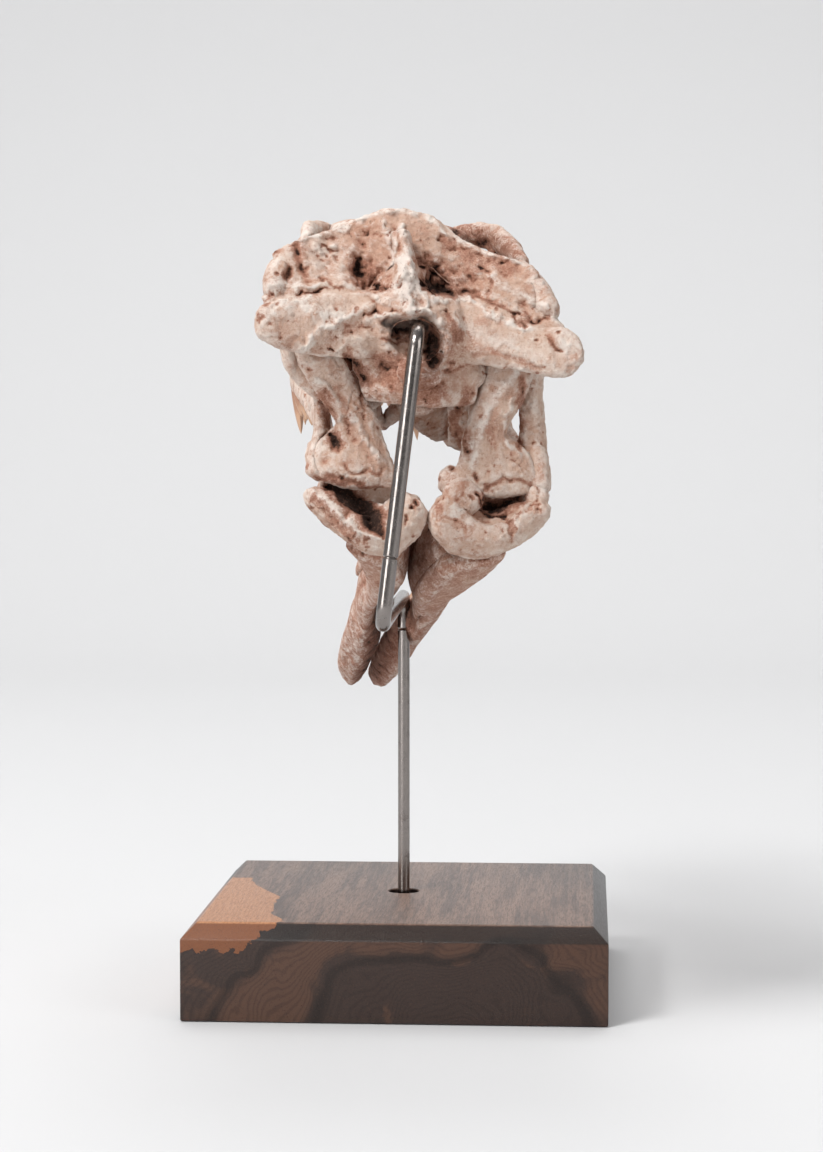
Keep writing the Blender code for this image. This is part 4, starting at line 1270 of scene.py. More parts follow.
BACK = (-30.0, 45.0)
# A strong rust tint in the pits, holes, slots and recesses below paints their shade as well as
# stain.
OCCIPUT = reaching(
    BACK,
    # Broad washes of colour
    spot(-1.0, -3.0, 15.0, rust=0.42),
    spot(9.0, 8.0, 9.0, rust=0.34),
    spot(-6.0, 1.0, 6.5, rust=0.25),
    spot(14.0, 25.5, 13.0, rust=0.20),
    spot(-13.0, -3.0, 8.0, rust=0.16),
    spot(18.0, -12.0, 9.0, rust=0.10),
    spot(-31.0, 16.0, 9.0, pale=0.9),
    spot(-20.0, 12.0, 9.0, pale=0.6),
    spot(-3.0, 20.0, 5.5, pale=0.9),
    spot(-33.0, 5.0, 6.0, rust=0.22),
    spot(-25.5, 27.0, 6.0, rust=0.25),
    line((12.0, 37.0), (20.0, 35.0), (27.0, 30.0), wide=7.0, rust=0.5, reach=(18, 90)),
    spot(16.0, 35.0, 2.2, deep=0.9, rust=0.9, reach=(18, 90)),
    spot(22.5, 32.5, 1.8, deep=0.7, rust=0.9, reach=(18, 90)),
    # The crest's rim, a pale ridge with a smooth hollow under it on the left
    line((-27, 29.6), (-20.6, 31.8), (-14.6, 33.8), (-8.6, 37), (-4, 38.4),
         wide=2.3, deep=-0.9, pale=0.9),
    line((-4, 38.4), (0.2, 38.2), (6, 37), wide=2.4, deep=-0.8, pale=0.7),
    line((6, 36.8), (8.5, 33.4), (12.5, 31.7), (17.2, 30.6), (25.3, 28.3),
         wide=1.7, deep=-0.9, pale=0.8),
    line((9, 30.6), (13, 29), (18, 27.8), (24, 26.3), wide=3.0, deep=0.7, rust=0.35),
    spot(-19.5, 26.8, 7.0, deep=2.2, pale=0.7),
    spot(-10.5, 30.0, 6.0, deep=1.6, rust=0.22),
    line((-26.8, 27.4), (-26, 23.2), (-25.2, 21.2), wide=1.7, deep=1.0, rust=0.6),
    line((-28.7, 22.7), (-30.6, 20.3), wide=1.5, deep=0.9, rust=0.9),
    spot(-32.2, 21.0, 1.1, deep=0.8, rust=1.0),
    line((-33.5, 24.5), (-31, 26.5), wide=1.8, deep=0.5, rust=0.35),
    # The two deep pits beside the median ridge
    spot(-10.9, 22.4, 6.6, deep=3.6, rust=0.62),
    line((-12.3, 24.7), (-12, 22.7), (-12.6, 20.4), wide=2.6, deep=1.4, rust=0.45),
    line((-9.4, 20.4), (-7.1, 18.8), wide=1.7, deep=0.8, rust=0.4),
    spot(5.2, 22.8, 7.0, deep=4.0, rust=0.66),
    line((2.7, 20.9), (5, 20), (8.2, 20), wide=2.3, deep=2.2, rust=1.1, edge=0.7),
    line((1, 26.5), (3.3, 25.5), (5.6, 25.1), wide=2.4, deep=0.7, rust=0.5),
    # The median ridge, which splits and flares into a buttress
    line((-5.2, 35), (-4.6, 29.5), (-3.6, 24.4), wide=1.5, deep=-1.1, pale=0.5),
    line((-1.5, 34), (-1.3, 28.6), (-1.7, 24.3), wide=1.5, deep=-1.2, pale=0.6),
    line((-3.2, 33), (-3.0, 28), wide=0.8, deep=0.5, rust=0.3),
    line((-2.6, 24.6), (-3, 18.2), wide=4.6, deep=-1.6, pale=1.3),
    line((-2.3, 23.9), (0.2, 21.3), (1.6, 18.8), (1.5, 16.3), wide=1.3, deep=-0.9, pale=1.0),
    line((-2.9, 23.6), (-5.7, 19.7), (-10, 16.9), wide=1.3, deep=-0.8, pale=0.8),
    line((-16.7, 19.5), (-13.3, 18.4), (-10, 16.9), (-5.5, 15.7), (0.3, 15.7),
         wide=1.5, deep=-0.9, pale=0.5),
    # The right half's cracked plates
    line((3.4, 17.5), (8.2, 18.6), (12.2, 18.3), (15.5, 16.1), (20, 13.5), (25.2, 12.8),
         wide=1.5, deep=-1.0, pale=1.0),
    line((15.8, 26.9), (18.3, 24.5), (17.8, 21.7), (17.1, 19.3), (19.1, 18.6),
         wide=0.7, deep=0.6, rust=0.5),
    line((10.4, 20), (15.6, 19.4), (18.4, 17.6), (21.8, 15.6), (25.9, 14.9),
         wide=1.1, deep=0.9, rust=0.55),
    line((22.9, 13.6), (26.5, 14.1), (31, 15.4), wide=0.9, deep=0.8, rust=0.6),
    line((18.6, 23.1), (24.3, 20.7), (30, 18.2), (32.2, 15.5), wide=1.9, deep=-0.8, pale=0.6),
    spot(25.5, 17.6, 2.2, deep=0.6, rust=0.3),
    spot(13.5, 23.5, 6.0, deep=1.5, rust=0.22),
    spot(21.5, 25.0, 2.6, deep=0.7, rust=0.35),
    # Slits and ridges over the left wing
    line((-27.5, 16.4), (-24.3, 16.9), (-19.9, 18.3), wide=0.8, deep=0.8, rust=0.6),
    line((-33.8, 18.4), (-28.1, 18.4), (-22.3, 19.3), (-20, 18.9), wide=1.2, deep=-0.8, pale=0.7),
    line((-21.9, 20.9), (-19.4, 19.4), (-17.2, 18.6), wide=0.7, deep=0.5, rust=0.5),
    line((-25.7, 13.8), (-20, 12), wide=3.0, deep=-0.4, pale=1.1),
    line((-27.3, 4.7), (-22.9, 9.2), (-15.4, 13.4), (-11.3, 14.8), wide=1.3, deep=-0.7, pale=0.8),
    line((-24, 4.2), (-18.5, 8.2), (-13, 11), wide=2.6, deep=0.7, rust=0.28),
    spot(-37, 10.8, 1.1, deep=0.7, rust=1.1),
    spot(-35.4, 9.2, 1.0, deep=0.5, rust=0.9),
    line((-36, 13.5), (-34, 16.5), wide=1.1, deep=0.5, rust=0.55),
    line((-12.6, 12.7), (-8.8, 13.8), wide=0.6, deep=0.5, rust=0.9),
    # The foramen magnum, with a rim, matrix inside and an open slot at the right
    line((-12.1, 11.4), (-7.9, 13.4), (-4.4, 14.6), (-0.3, 15.3), (2, 14.6),
         wide=1.2, deep=-0.8, pale=0.7),
    line((2, 14.8), (4.2, 12.7), (5.9, 9.7), (6.2, 7.0), (4.8, 3.6), (2.9, 2.4),
         wide=1.3, deep=-1.0, pale=0.4, rust=0.1),
    line((-7.0, 11.2), (-3.4, 11.8), (0.5, 12.0), wide=2.9, deep=2.1, grey=1.2, rust=0.2),
    line((-5.5, 10.2), (-1.0, 9.5), wide=2.2, deep=1.4, rust=0.65, grey=0.2),
    # Painted shade: the strong rust tint darkens the open slot.
    line((2.4, 10.6), (3.2, 7.8), (2.9, 5.4), (1.6, 3.2),
         wide=2.5, deep=3.0, rust=0.75, grey=0.35, edge=0.8),
    line((3.4, 4.2), (1.9, 3.0), wide=1.4, deep=0.6, rust=1.2),
    spot(-0.7, 15.2, 0.5, deep=0.6, rust=1.4),
    line((-9.2, 7.9), (-5.2, 7.3), (-2.8, 8), wide=0.9, deep=0.5, rust=0.6),
    line((6, 13.7), (7.6, 12.1), (8.6, 8.8), wide=2.0, deep=0.2, rust=0.5),
    # The right wing's rounded tip and its hollow
    spot(33.2, 8.2, 4.8, deep=0.8, pale=1.0),
    line((29.5, 11), (31.3, 8.7), wide=1.2, deep=0.6, rust=0.7),
    line((10, 12), (18, 8.5), (26, 6.0), wide=3.4, deep=0.2, pale=0.75),
    line((27, 3.4), (22, 4.8), (16, 7.0), wide=1.4, deep=0.3, rust=0.35),
    # Below the foramen: condyle, recesses and the wall of the braincase
    line((0.7, 0.8), (3.5, 0.6), wide=2.2, deep=-0.4, pale=0.9),
    line((-16.5, 3.5), (-14.9, 0.8), (-13.3, -1.4), wide=2.7, deep=1.4, rust=1.0),
    line((-12.0, 4.0), (-6, 3.2), (-1.5, 3.0), wide=1.8, deep=0.4, rust=0.25),
    spot(-9.3, 0.6, 4.5, deep=0.7, rust=0.30),
    spot(2.2, -3.2, 5.0, deep=0.8, rust=0.32),
    # Painted shadow that the braincase's side casts.
    line((11, -3.1), (8.9, -11), (10.4, -16.2), wide=2.6, deep=1.0, rust=0.6),
    line((-9.6, -7.5), (-11.6, -10), wide=1.8, deep=-0.5, pale=0.5),
    # The left quadrate
    line((-24, -3.3), (-19.1, -8.1), (-15.8, -12), (-13.3, -17), (-10.6, -20.3),
         wide=1.5, deep=-0.8, pale=0.6),
    line((-18.2, 3.4), (-13.4, -2.6), (-9.9, -10.4), (-8, -17.3), wide=1.3, deep=-0.7, pale=0.5),
    line((-20.2, -4.2), (-18, -9.8), (-16.6, -14.9), wide=2.2, deep=0.6, rust=0.22),
    # Painted shade: the strong rust tint darkens this deep hole.
    spot(-20.9, -16.4, 3.1, deep=2.6, rust=1.6),
    line((-22.6, -6.5), (-21.6, -12.5), wide=2.6, deep=1.2, rust=0.7),
    line((-19.1, -10.6), (-21.3, -12.5), (-21.2, -14.8), (-19.2, -15.8),
         wide=0.9, deep=-0.7, pale=0.7),
    line((-18.9, -22), (-17.2, -23.3), (-13.1, -22.5), (-10.8, -23.2),
         wide=0.8, deep=0.6, rust=0.6),
    line((-26.2, -25.3), (-20.3, -25.5), (-15.1, -26.4), (-11.1, -27.3),
         wide=1.3, deep=0.8, rust=0.8),
    spot(-23.5, -21, 2.4, deep=0.5, rust=0.4),
    spot(-14, -6.5, 1.9, deep=0.5, rust=0.45),
    # The right quadrate
    line((12, -27.1), (15.2, -24), (18.9, -22.9), (22.4, -23.3), (24.8, -24.3),
         wide=1.0, deep=0.7, rust=0.6),
    spot(22.7, -11.5, 1.5, deep=1.2, rust=1.2),
    # Painted shade on the inner bar behind the right opening.
    line((23.8, 0.5), (23.4, -8), (23.2, -15.0), wide=2.0, deep=0.5, rust=0.8),
    spot(11.8, -22.4, 1.3, deep=1.0, rust=1.1),
    line((23, 3.3), (15.9, -5.3), (12.3, -14.3), (10.7, -20.2), wide=1.9, deep=-0.6, pale=0.7),
    line((21, -5), (19.2, -9.8), (19.7, -14.4), (22.9, -16.8), wide=1.0, deep=-0.6, pale=0.6),
    line((17.5, -2), (16.5, -9), (15.8, -15), wide=2.0, deep=0.5, rust=0.2),
    spot(17.5, -19.5, 3.2, deep=0.5, pale=0.6, rust=0.1),
    # The pitted knob inside the right joint
    line((6.1, -22.9), (7, -26.4), wide=3.0, deep=0.3, rust=0.35),
    spot(3.0, -24.1, 1.3, deep=1.0, rust=1.0),
    spot(6.4, -21.6, 0.9, deep=0.9, rust=1.1),
    spot(8.2, -24.3, 0.9, deep=0.8, rust=1.1),
    spot(5.4, -26.3, 0.9, deep=0.8, rust=1.1),
)

NEAR_JAW = (-30.0, 34.0)
# A strong rust tint in the pits and holes below paints their shade as well as stain.
JAW_REAR = reaching(
    NEAR_JAW,
    # The cups' hollows, darkened with painted shade
    line((-20.5, 0.2), (-17.0, -3.2), (-13.4, -7.0), wide=5.2, rust=1.7, edge=0.7),
    line((15.4, -0.8), (18.0, -1.2), (21.0, 1.0), wide=3.6, rust=1.3, edge=0.8),
    spot(5.0, -8.0, 8.0, rust=0.16, reach=(30, 90)),
    spot(8.3, -9.5, 1.6, deep=0.6, rust=1.0, reach=(10, 40)),
    # Painted shade on the inner walls of both dentaries.
    line((104, -3), (150, -3), (192, -1),
         wide=8.0, rust=0.7, grey=0.3, view=View.RIGHT, reach=(-14, 0)),
    line((104, -3), (150, -3), (192, -1),
         wide=8.0, rust=0.5, grey=0.2, view=View.LEFT, reach=(0, 14)),
    # Painted shade on the inner side between the rami.
    line((4.0, -6.0), (3.4, -14.0), wide=9.0, rust=0.30, grey=0.25, reach=(14, 90)),
    line((-22.9, 1.4), (-17, -1.6), (-13.8, -6.3), (-11.4, -10.4), wide=3.0, deep=2.4, rust=1.3),
    line((-28.2, -1.6), (-22.8, -5.6), (-16.7, -11.3), (-11.4, -14), wide=1.4, deep=-0.9, pale=0.8),
    line((-12.1, -0.7), (-9.6, -5.4), wide=1.3, deep=-0.7, pale=0.7),
    line((-27, -3.6), (-21.6, -8.8), (-16.1, -13.4), wide=1.7, deep=0.4, rust=0.45),
    spot(-2.5, -4.7, 2.6, deep=-0.6, pale=0.7),
    spot(-4.6, -4.2, 1.0, deep=0.8, rust=1.2),
    spot(-5.1, -7.9, 0.9, deep=0.7, rust=1.1),
    spot(-7.4, -3.4, 0.8, deep=0.5, rust=0.9),
    spot(-14.1, -13.3, 1.0, deep=0.6, rust=1.0),
    spot(-17.8, -14.5, 0.9, deep=0.4, rust=0.8),
    spot(15.8, -2, 2.7, deep=1.8, rust=1.3),
    line((11.7, -0.7), (12.9, -2.8), (15.3, -4.8), (18.3, -4.6), wide=1.0, deep=0.9, rust=1.1),
    line((21.7, 0.2), (18.2, -3.1), (15.3, -5.4), wide=1.2, deep=-0.8, pale=0.8),
    spot(5.9, -5.1, 3.0, deep=-0.5, pale=0.9),
    line((2.3, -2.2), (3, -6.5), (7.7, -7.7), (8.4, -9.8), wide=0.8, deep=0.4, rust=0.4),
    line((25.8, 2.9), (25.9, -0.2), (23.5, -2.8), (20.1, -6.7), (19.6, -11),
         wide=0.7, deep=0.4, rust=0.35),
    spot(26.9, 2.0, 1.8, deep=0.5, pale=1.0),
    spot(22.6, -9.9, 2.2, deep=0.4, pale=0.8),
    line((11.9, -0.9), (14.6, -7.7), (12.2, -11.7), wide=1.2, deep=0.7, rust=0.6, reach=(10, 60)),
    spot(9.6, -4.5, 2.2, deep=0.8, rust=0.7, reach=(14, 60)),
    line((2.2, -9.9), (7.7, -10.2), (13.3, -9.2), (15.1, -6.2),
         wide=0.8, deep=0.7, rust=0.8, reach=(20, 70)),
    line((12.3, -13.8), (16.5, -12.3), wide=0.8, deep=0.6, rust=0.8, reach=(5, 60)),
    line((0.9, 0.3), (2.1, -6.2), (3.2, -10.7), wide=1.6, deep=0.8, rust=0.9, reach=(28, 90)),
    spot(9.9, -6.4, 1.2, deep=0.7, rust=1.1, reach=(60, 110)),
    # The dentaries' keels, with a flat worn in on each side
    line((-6.8, 104), (-5.6, 130), (-5.4, 155), (-4.8, 174), (-3.8, 190),
         wide=2.8, deep=-0.8, pale=0.7, view=View.BELOW),
    line((-9.6, 106), (-8.6, 130), (-8.2, 155), (-7.4, 176),
         wide=3.2, deep=0.9, pale=0.5, view=View.BELOW),
    line((-3.4, 106), (-2.6, 130), (-2.4, 155), (-2.2, 176),
         wide=3.2, deep=0.9, rust=0.5, view=View.BELOW),
    line((8.4, 104), (6.4, 130), (5.4, 155), (4.8, 174), (3.8, 190),
         wide=2.8, deep=-0.8, pale=0.4, view=View.BELOW),
    line((5.0, 106), (3.2, 130), (2.4, 155), (2.2, 176),
         wide=3.2, deep=0.9, rust=0.4, view=View.BELOW),
    spot(18.2, -4.5, 0.9, deep=0.5, rust=1.0, reach=(5, 50)),
    spot(20.0, -5.0, 0.8, deep=0.5, rust=0.9, reach=(5, 50)),
)


def pinholes(seed: int, many: int, box: Four, reach: Pair) -> tuple[Mark, ...]:
    """Small holes strewn over the rear, whose dark rust tint is painted shade.

    Args:
        seed: places them.
        many: how many there are.
        box: least x, most x, least z and most z.
        reach: the range of depth in which they work.

    Returns:
        One mark for each hole.
    """
    rng = np.random.default_rng(seed)
    marks = []
    for _ in range(many):
        x, z = rng.uniform(*box[:2]), rng.uniform(*box[2:])
        wide = rng.uniform(0.45, 0.95)
        # The rust tint paints the shade in each hole.
        marks.append(spot(x, z, wide, deep=0.6 * wide, rust=rng.uniform(0.5, 1.2), reach=reach))
    return tuple(marks)


def cheek_marks(view: View, seed: int) -> tuple[Mark, ...]:
    """Foramina, sutures and cracks on the skull's flank.

    Args:
        view: View.RIGHT or View.LEFT.
        seed: shifts the marks so that the two flanks differ.

    Returns:
        The marks.
    """
    rng = np.random.default_rng(seed)
    marks = []
    for y in np.arange(98.0, 192.0, 5.4):
        z = float(np.interp(y, (96, 130, 160, 178, 195), (-12.5, -8.6, -8.0, -7.5, -5.6)))
        z += rng.uniform(-0.8, 0.8)
        # The foramina's strong rust tint paints the shade in them.
        marks.append(spot(y + rng.uniform(-1, 1), z, 0.85, deep=0.9, rust=1.2, view=view))
        if rng.random() < 0.45:
            marks.append(spot(y + 2.5, z + 3.8, 0.7, deep=0.6, rust=0.9, view=view))
    for y, z, drop in ((150.0, 5.0, 9.0), (120.0, 2.0, 8.0), (66.0, 26.0, 7.0), (40.0, 30.0, 6.0)):
        y += rng.uniform(-4, 4)
        steps = [(y + rng.uniform(-1.4, 1.4) + i * 0.8, z - drop * i / 5) for i in range(6)]
        marks.append(line(*steps, wide=0.75, deep=0.7, rust=0.85, view=view))
    for _ in range(9):
        y, z, wide = rng.uniform(20, 185), rng.uniform(-10, 28), rng.uniform(2.0, 4.5)
        deep, rust = rng.uniform(0.2, 0.7), rng.uniform(0.1, 0.5)
        marks.append(spot(y, z, wide, deep=deep, rust=rust, view=view))
    return tuple(marks)


def jaw_marks(view: View, seed: int) -> tuple[Mark, ...]:
    """Two rows of foramina in a long groove, and the cracks, of the jaw's flank.

    Args:
        view: View.RIGHT or View.LEFT.
        seed: shifts the marks so that the two flanks differ.

    Returns:
        The marks.
    """
    rng = np.random.default_rng(seed)
    groove = ((118, 0.0), (140, -0.6), (160, -0.4), (185, 0.4))
    marks = [
        line(*groove, wide=1.3, deep=0.5, rust=0.4, view=view),
        line((22, -3), (50, -5), (84, -3), wide=1.6, deep=0.4, rust=0.3, view=view),
    ]
    for y in np.arange(110.0, 196.0, 4.6):
        z = float(np.interp(y, (108, 150, 190), (-0.4, -0.6, 0.6))) + rng.uniform(-0.5, 0.5)
        # The foramina's strong rust tint paints the shade in them.
        marks.append(spot(y + rng.uniform(-0.8, 0.8), z, 0.75, deep=0.8, rust=1.2, view=view))
    for y in (30.0, 62.0, 96.0, 134.0, 168.0):
        y += rng.uniform(-4, 4)
        steps = [(y + rng.uniform(-1.2, 1.2) - i * 0.7, 4 - 11 * i / 5) for i in range(6)]
        marks.append(line(*steps, wide=0.65, deep=0.55, rust=0.75, view=view))
    return tuple(marks)


def roof_marks() -> tuple[Mark, ...]:
    """The seams and cracks of the skull's roof.

    Returns:
        The marks, the same on every call.
    """
    rng = np.random.default_rng(31)
    marks = []
    seams = ((-0.3, 30, 92), (-5.0, 100, 150), (5.0, 96, 158), (-9.0, 34, 60), (9.5, 30, 64))
    for x, start, end in seams:
        steps = [(x + rng.uniform(-0.6, 0.6), y) for y in np.linspace(start, end, 9)]
        marks.append(line(*steps, wide=0.7, deep=0.5, rust=0.7, view=View.TOP))
    for _ in range(12):
        x, y, wide = rng.uniform(-22, 22), rng.uniform(6, 185), rng.uniform(1.6, 4.0)
        deep, rust = rng.uniform(0.2, 0.6), rng.uniform(0.1, 0.6)
        marks.append(spot(x, y, wide, deep=deep, rust=rust, view=View.TOP))
    return tuple(marks)


# --- What fills the bones out ----------------------------------------------------------------


UP = (0.0, 0.0, 1.0)
SIDE = (1.0, 0.0, 0.0)
SLOPE = (0.0, 0.55, 0.83)
# Both are in the bone's frame, in millimetres. A lump is a centre and its half sizes. A bar is the
# way its width lies, then x, y, z, half width and half thickness of each station.
LUMPS = {
    "braincase": (((-9.0, 6.5, 1.5), (6.5, 3.2, 4.6)), ((9.0, 6.5, 1.5), (6.5, 3.2, 4.6))),
    "articular_right": (((8.3, 1.4, -0.4), (4.8, 2.6, 4.6)), ((26.0, 3.6, 0.6), (2.4, 3.0, 3.2))),
}
BARS = {
    "braincase": (
        (SLOPE, (-35.0, 1.8, 13.6, 2.4, 1.4), (-28.0, 3.6, 15.8, 4.4, 2.0),
         (-18.0, 4.7, 17.6, 5.0, 2.3), (-13.5, 5.6, 17.8, 3.6, 2.0)),
        (SLOPE, (12.5, 5.2, 16.8, 3.6, 2.0), (17.0, 4.2, 16.4, 5.0, 2.2),
         (22.0, 3.1, 14.6, 4.8, 2.1), (29.0, 2.2, 13.4, 3.8, 1.8),
         (33.0, 0.8, 11.6, 2.2, 1.4)),
    ),
    "quadratojugal_right": (
        (SIDE, (27.4, 11.0, 3.0, 2.6, 1.6), (27.2, 12.0, -5.0, 2.7, 1.8),
         (27.0, 12.4, -13.0, 3.1, 2.0), (25.6, 11.6, -19.0, 4.6, 2.4),
         (24.8, 10.2, -24.0, 5.2, 2.8)),
    ),
    "squamosal_left": (
        (SIDE, (-27.8, 9.6, 6.0, 4.6, 1.6), (-27.2, 9.6, 1.0, 4.4, 1.5),
         (-24.8, 9.6, -3.2, 3.4, 1.4), (-22.0, 9.6, -7.0, 1.8, 1.1)),
    ),
    "quadratojugal_left": (
        (SIDE, (-23.6, 10.6, -17.6, 2.6, 1.5), (-23.4, 10.2, -21.0, 4.2, 2.0),
         (-23.2, 9.8, -25.0, 4.4, 2.3)),
    ),
    "angular_right": (
        (UP, (7.0, 12, -13.8, 2.6, 2.2), (3.8, 27, -15.0, 2.8, 2.4),
         (3.8, 50, -12.6, 2.8, 2.2), (6.0, 68, -11.0, 2.2, 1.8)),
    ),
    "dentary_left": (
        (UP, (-6.4, 108, -3.0, 5.8, 3.6), (-5.4, 128, -3.2, 5.8, 4.6),
         (-5.4, 150, -3.2, 5.4, 4.6), (-5.0, 172, -2.2, 5.0, 4.0),
         (-3.8, 186, -0.8, 4.0, 2.6)),
    ),
    "dentary_right": (
        (UP, (8.0, 108, -3.0, 5.6, 3.6), (6.0, 128, -3.2, 5.6, 4.4),
         (5.2, 150, -3.2, 5.2, 4.4), (4.6, 172, -2.2, 4.8, 3.8),
         (3.6, 186, -0.8, 3.8, 2.6)),
    ),
}


def fillings(node: str) -> tuple[Shape, ...]:
    """The lumps and bars that fill a bone out where it is continuous."""
    lumps = [ball(*lump) for lump in LUMPS.get(node, ())]
    return (*lumps, *(lofted(*bar) for bar in BARS.get(node, ())))


# --- Teeth -------------------------------------------------------------------------------


@dataclass
class ToothRow:
    """The teeth of one bone: flattened, recurved crowns with an edge fore and aft.

    Attributes:
        name: the piece's name.
        place: the frame it is worked in.
        finish: its enamel.
        slot: which material it takes, as for a bone; it is not used.
        crowns: x, y and z of each at the gum, its length (below 0 for one that points
            up), half its width, and how far its tip lies back as a share of the length.
        root: how far a crown goes into the bone, in millimetres.
        flat: half its thickness as a share of half its width.
        sides, rings: points round a crown, and rings along it below the tip.
    """

    name: str
    place: BoneFrame
    finish: Material
    slot: str = "skull_bone"
    crowns: list[tuple[float, float, float, float, float, float]] = field(default_factory=list)
    root: float = 2.2
    flat: float = 0.66
    sides: int = 20
    rings: int = 16

    def crown(self, x: float, y: float, z: float, length: float, wide: float, rake: float) -> tuple:
        """One crown, from inside the bone to the tip.

        Args:
            x, y, z: the middle of its foot, in the row's frame, in millimetres.
            length, wide, rake: as in crowns.

        Returns:
            Its points, its faces, and how far down the crown each point lies.
        """
        points, down = [], []
        start = -self.root / abs(length)
        for i in range(self.rings):
            share = start + (0.985 - start) * i / (self.rings - 1)
            along = max(share, 0.0)
            size = (1.0 - along**1.7) ** 0.72 * (1.0 - 0.06 * (share < 0))
            back = abs(rake * length * along**1.9)
            for j in range(self.sides):
                angle = 2 * math.pi * j / self.sides
                fore = math.cos(angle)
                thick = self.flat * math.sin(angle) * (1.0 - 0.22 * fore * fore)
                across, on = thick * wide * size, fore * wide * size
                points.append((x + across, y - back + on, z - share * length))
                down.append(along)
        faces = tube_faces(self.rings, self.sides)
        last, tip = len(points) - self.sides, len(points)
        points.append((x, y - abs(rake * length), z - length))
        down.append(1.0)
        faces.extend((last + j, last + (j + 1) % self.sides, tip) for j in range(self.sides))
        return points, faces, down

    def build(self) -> Object:
        """Make all crowns as one object.

        Returns:
            The finished object.
        """
        points, faces, down = [], [], []
        for crown in self.crowns:
            more, more_faces, more_down = self.crown(*crown)
            start = len(points)
            faces.extend(tuple(start + i for i in face) for face in more_faces)
            points.extend(more)
            down.extend(more_down)
        obj = new_object(self.name, self.place.world(np.array(points)), faces)
        shape = bmesh.new()
        shape.from_mesh(obj.data)
        bmesh.ops.recalc_face_normals(shape, faces=shape.faces)
        shape.to_mesh(obj.data)
        shape.free()
        put_number(obj.data, "down", np.array(down))
        dressed(obj, self.finish)
        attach(obj, BODY)
        log.info("%s: %d crowns", self.name, len(self.crowns))
        return obj


@dataclass(frozen=True)
class Bite:
    """How a row of crowns is spaced and shaped, in millimetres.

    Attributes:
        first: y of its first crown.
        step: from one crown to the next along y.
        half: half a crown's width.
        rake: how far a tip lies back, as a share of the crown's length.
    """

    first: float
    step: float
    half: float
    rake: float


UPPER = Bite(first=175.0, step=-9.2, half=2.6, rake=0.16)
FRONT = Bite(first=184.0, step=4.6, half=1.82, rake=0.22)
LOWER = Bite(first=190.0, step=-8.2, half=1.82, rake=0.22)
UPPER_SUNK = 3.2  # how much of an upper crown's length is added inside the bone, in millimetres
UPPER_CROWNS = {  # how far each crown of a maxilla shows, from the front back, in millimetres
    1: (3.2, 3.4, 5.0, 8.8, 9.6, 3.4, 3.2, 3.0, 2.8),
    -1: (6.0, 7.6, 8.6, 9.4, 9.6, 9.2, 3.4, 3.2, 3.0),
}
UPPER_GUM = (  # y, x, what the spread of the left side adds to x, and z
    (90, 19.8, 0.4, -17),
    (108, 17.4, 0.8, -14.8),
    (128, 15.2, 1.1, -13),
    (146, 13.2, 1.3, -12.4),
    (164, 10.7, 0.7, -12),
    (176, 8.8, 0.0, -11.4),
)
# y, x and z, then y and how far the right half of the jaw is pushed out
LOWER_GUM = ((110, 6, 3.6), (125, 5.4, 2.6), (150, 5.5, 2.2), (174, 5, 2.8), (190, 3.6, 3.2))
JAW_SHOVE = ((104, 2.9), (125, 2.9 * 0.7), (150, 2.9 * 0.3), (174, 0.0))
LEFT_SPREAD = 2.4  # how far the left maxilla is spread, in millimetres
GUMS = {  # y and z of the line from which a bone's plain teeth are pressed flat
    "maxilla": (
        (64, -19.5), (86, -16.4), (108, -12.2), (128, -9.8),
        (146, -9.2), (164, -8.9), (176, -9.0), (182, -9.4),
    ),
    "premaxilla": ((181, -11.7), (189, -11.9), (197, -11.3), (203, -10.3)),
    "dentary": (
        (70, 2.5), (86, 4.7), (104, 4.1), (125, 3.1),
        (150, 2.7), (174, 3.3), (188, 3.9), (195, 3.5),
    ),
}


def read_off(table: tuple, y: float, column: int) -> float:
    """A column's value at y, by straight lines between the table's rows."""
    rows = np.array(table, dtype=float)
    return float(np.interp(y, rows[:, 0], rows[:, column]))


def teeth_of(side: int, finish: Material) -> list[ToothRow]:
    """The teeth on one side of the mouth.

    Args:
        side: 1 is the right and -1 the left.
        finish: their enamel.

    Returns:
        The rows of the maxilla, the premaxilla and the dentary.
    """
    word = "right" if side > 0 else "left"
    spread = 0.0 if side > 0 else LEFT_SPREAD
    upper = ToothRow(f"teeth_maxilla_{word}", SKULL, finish)
    for i, length in enumerate(UPPER_CROWNS[side]):
        y = UPPER.first + UPPER.step * i
        x = read_off(UPPER_GUM, y, 1) + spread * read_off(UPPER_GUM, y, 2) + 0.9
        z = read_off(UPPER_GUM, y, 3) + 4.6
        upper.crowns.append((side * x, y, z, length + UPPER_SUNK, UPPER.half, UPPER.rake))
    front = ToothRow(f"teeth_premaxilla_{word}", SKULL, finish)
    for i in range(4):
        x, z = side * (7.6 - 0.12 * i**1.5), -9.6 + 0.1 * i
        front.crowns.append((x, FRONT.first + FRONT.step * i, z, 7.7, FRONT.half, FRONT.rake))
    lower = ToothRow(f"teeth_dentary_{word}", JAW, finish, "jaw_bone")
    for i in range(10):
        y = LOWER.first + LOWER.step * i
        shove = read_off(JAW_SHOVE, y, 1) if side > 0 else 0.0
        x, z = side * (read_off(LOWER_GUM, y, 1) + shove), read_off(LOWER_GUM, y, 2)
        length = 0.25 * abs(i - 4) - 5.8
        lower.crowns.append((x, y, z, length, LOWER.half, LOWER.rake))
    return [upper, front, lower]


# --- The stand ---------------------------------------------------------------------------


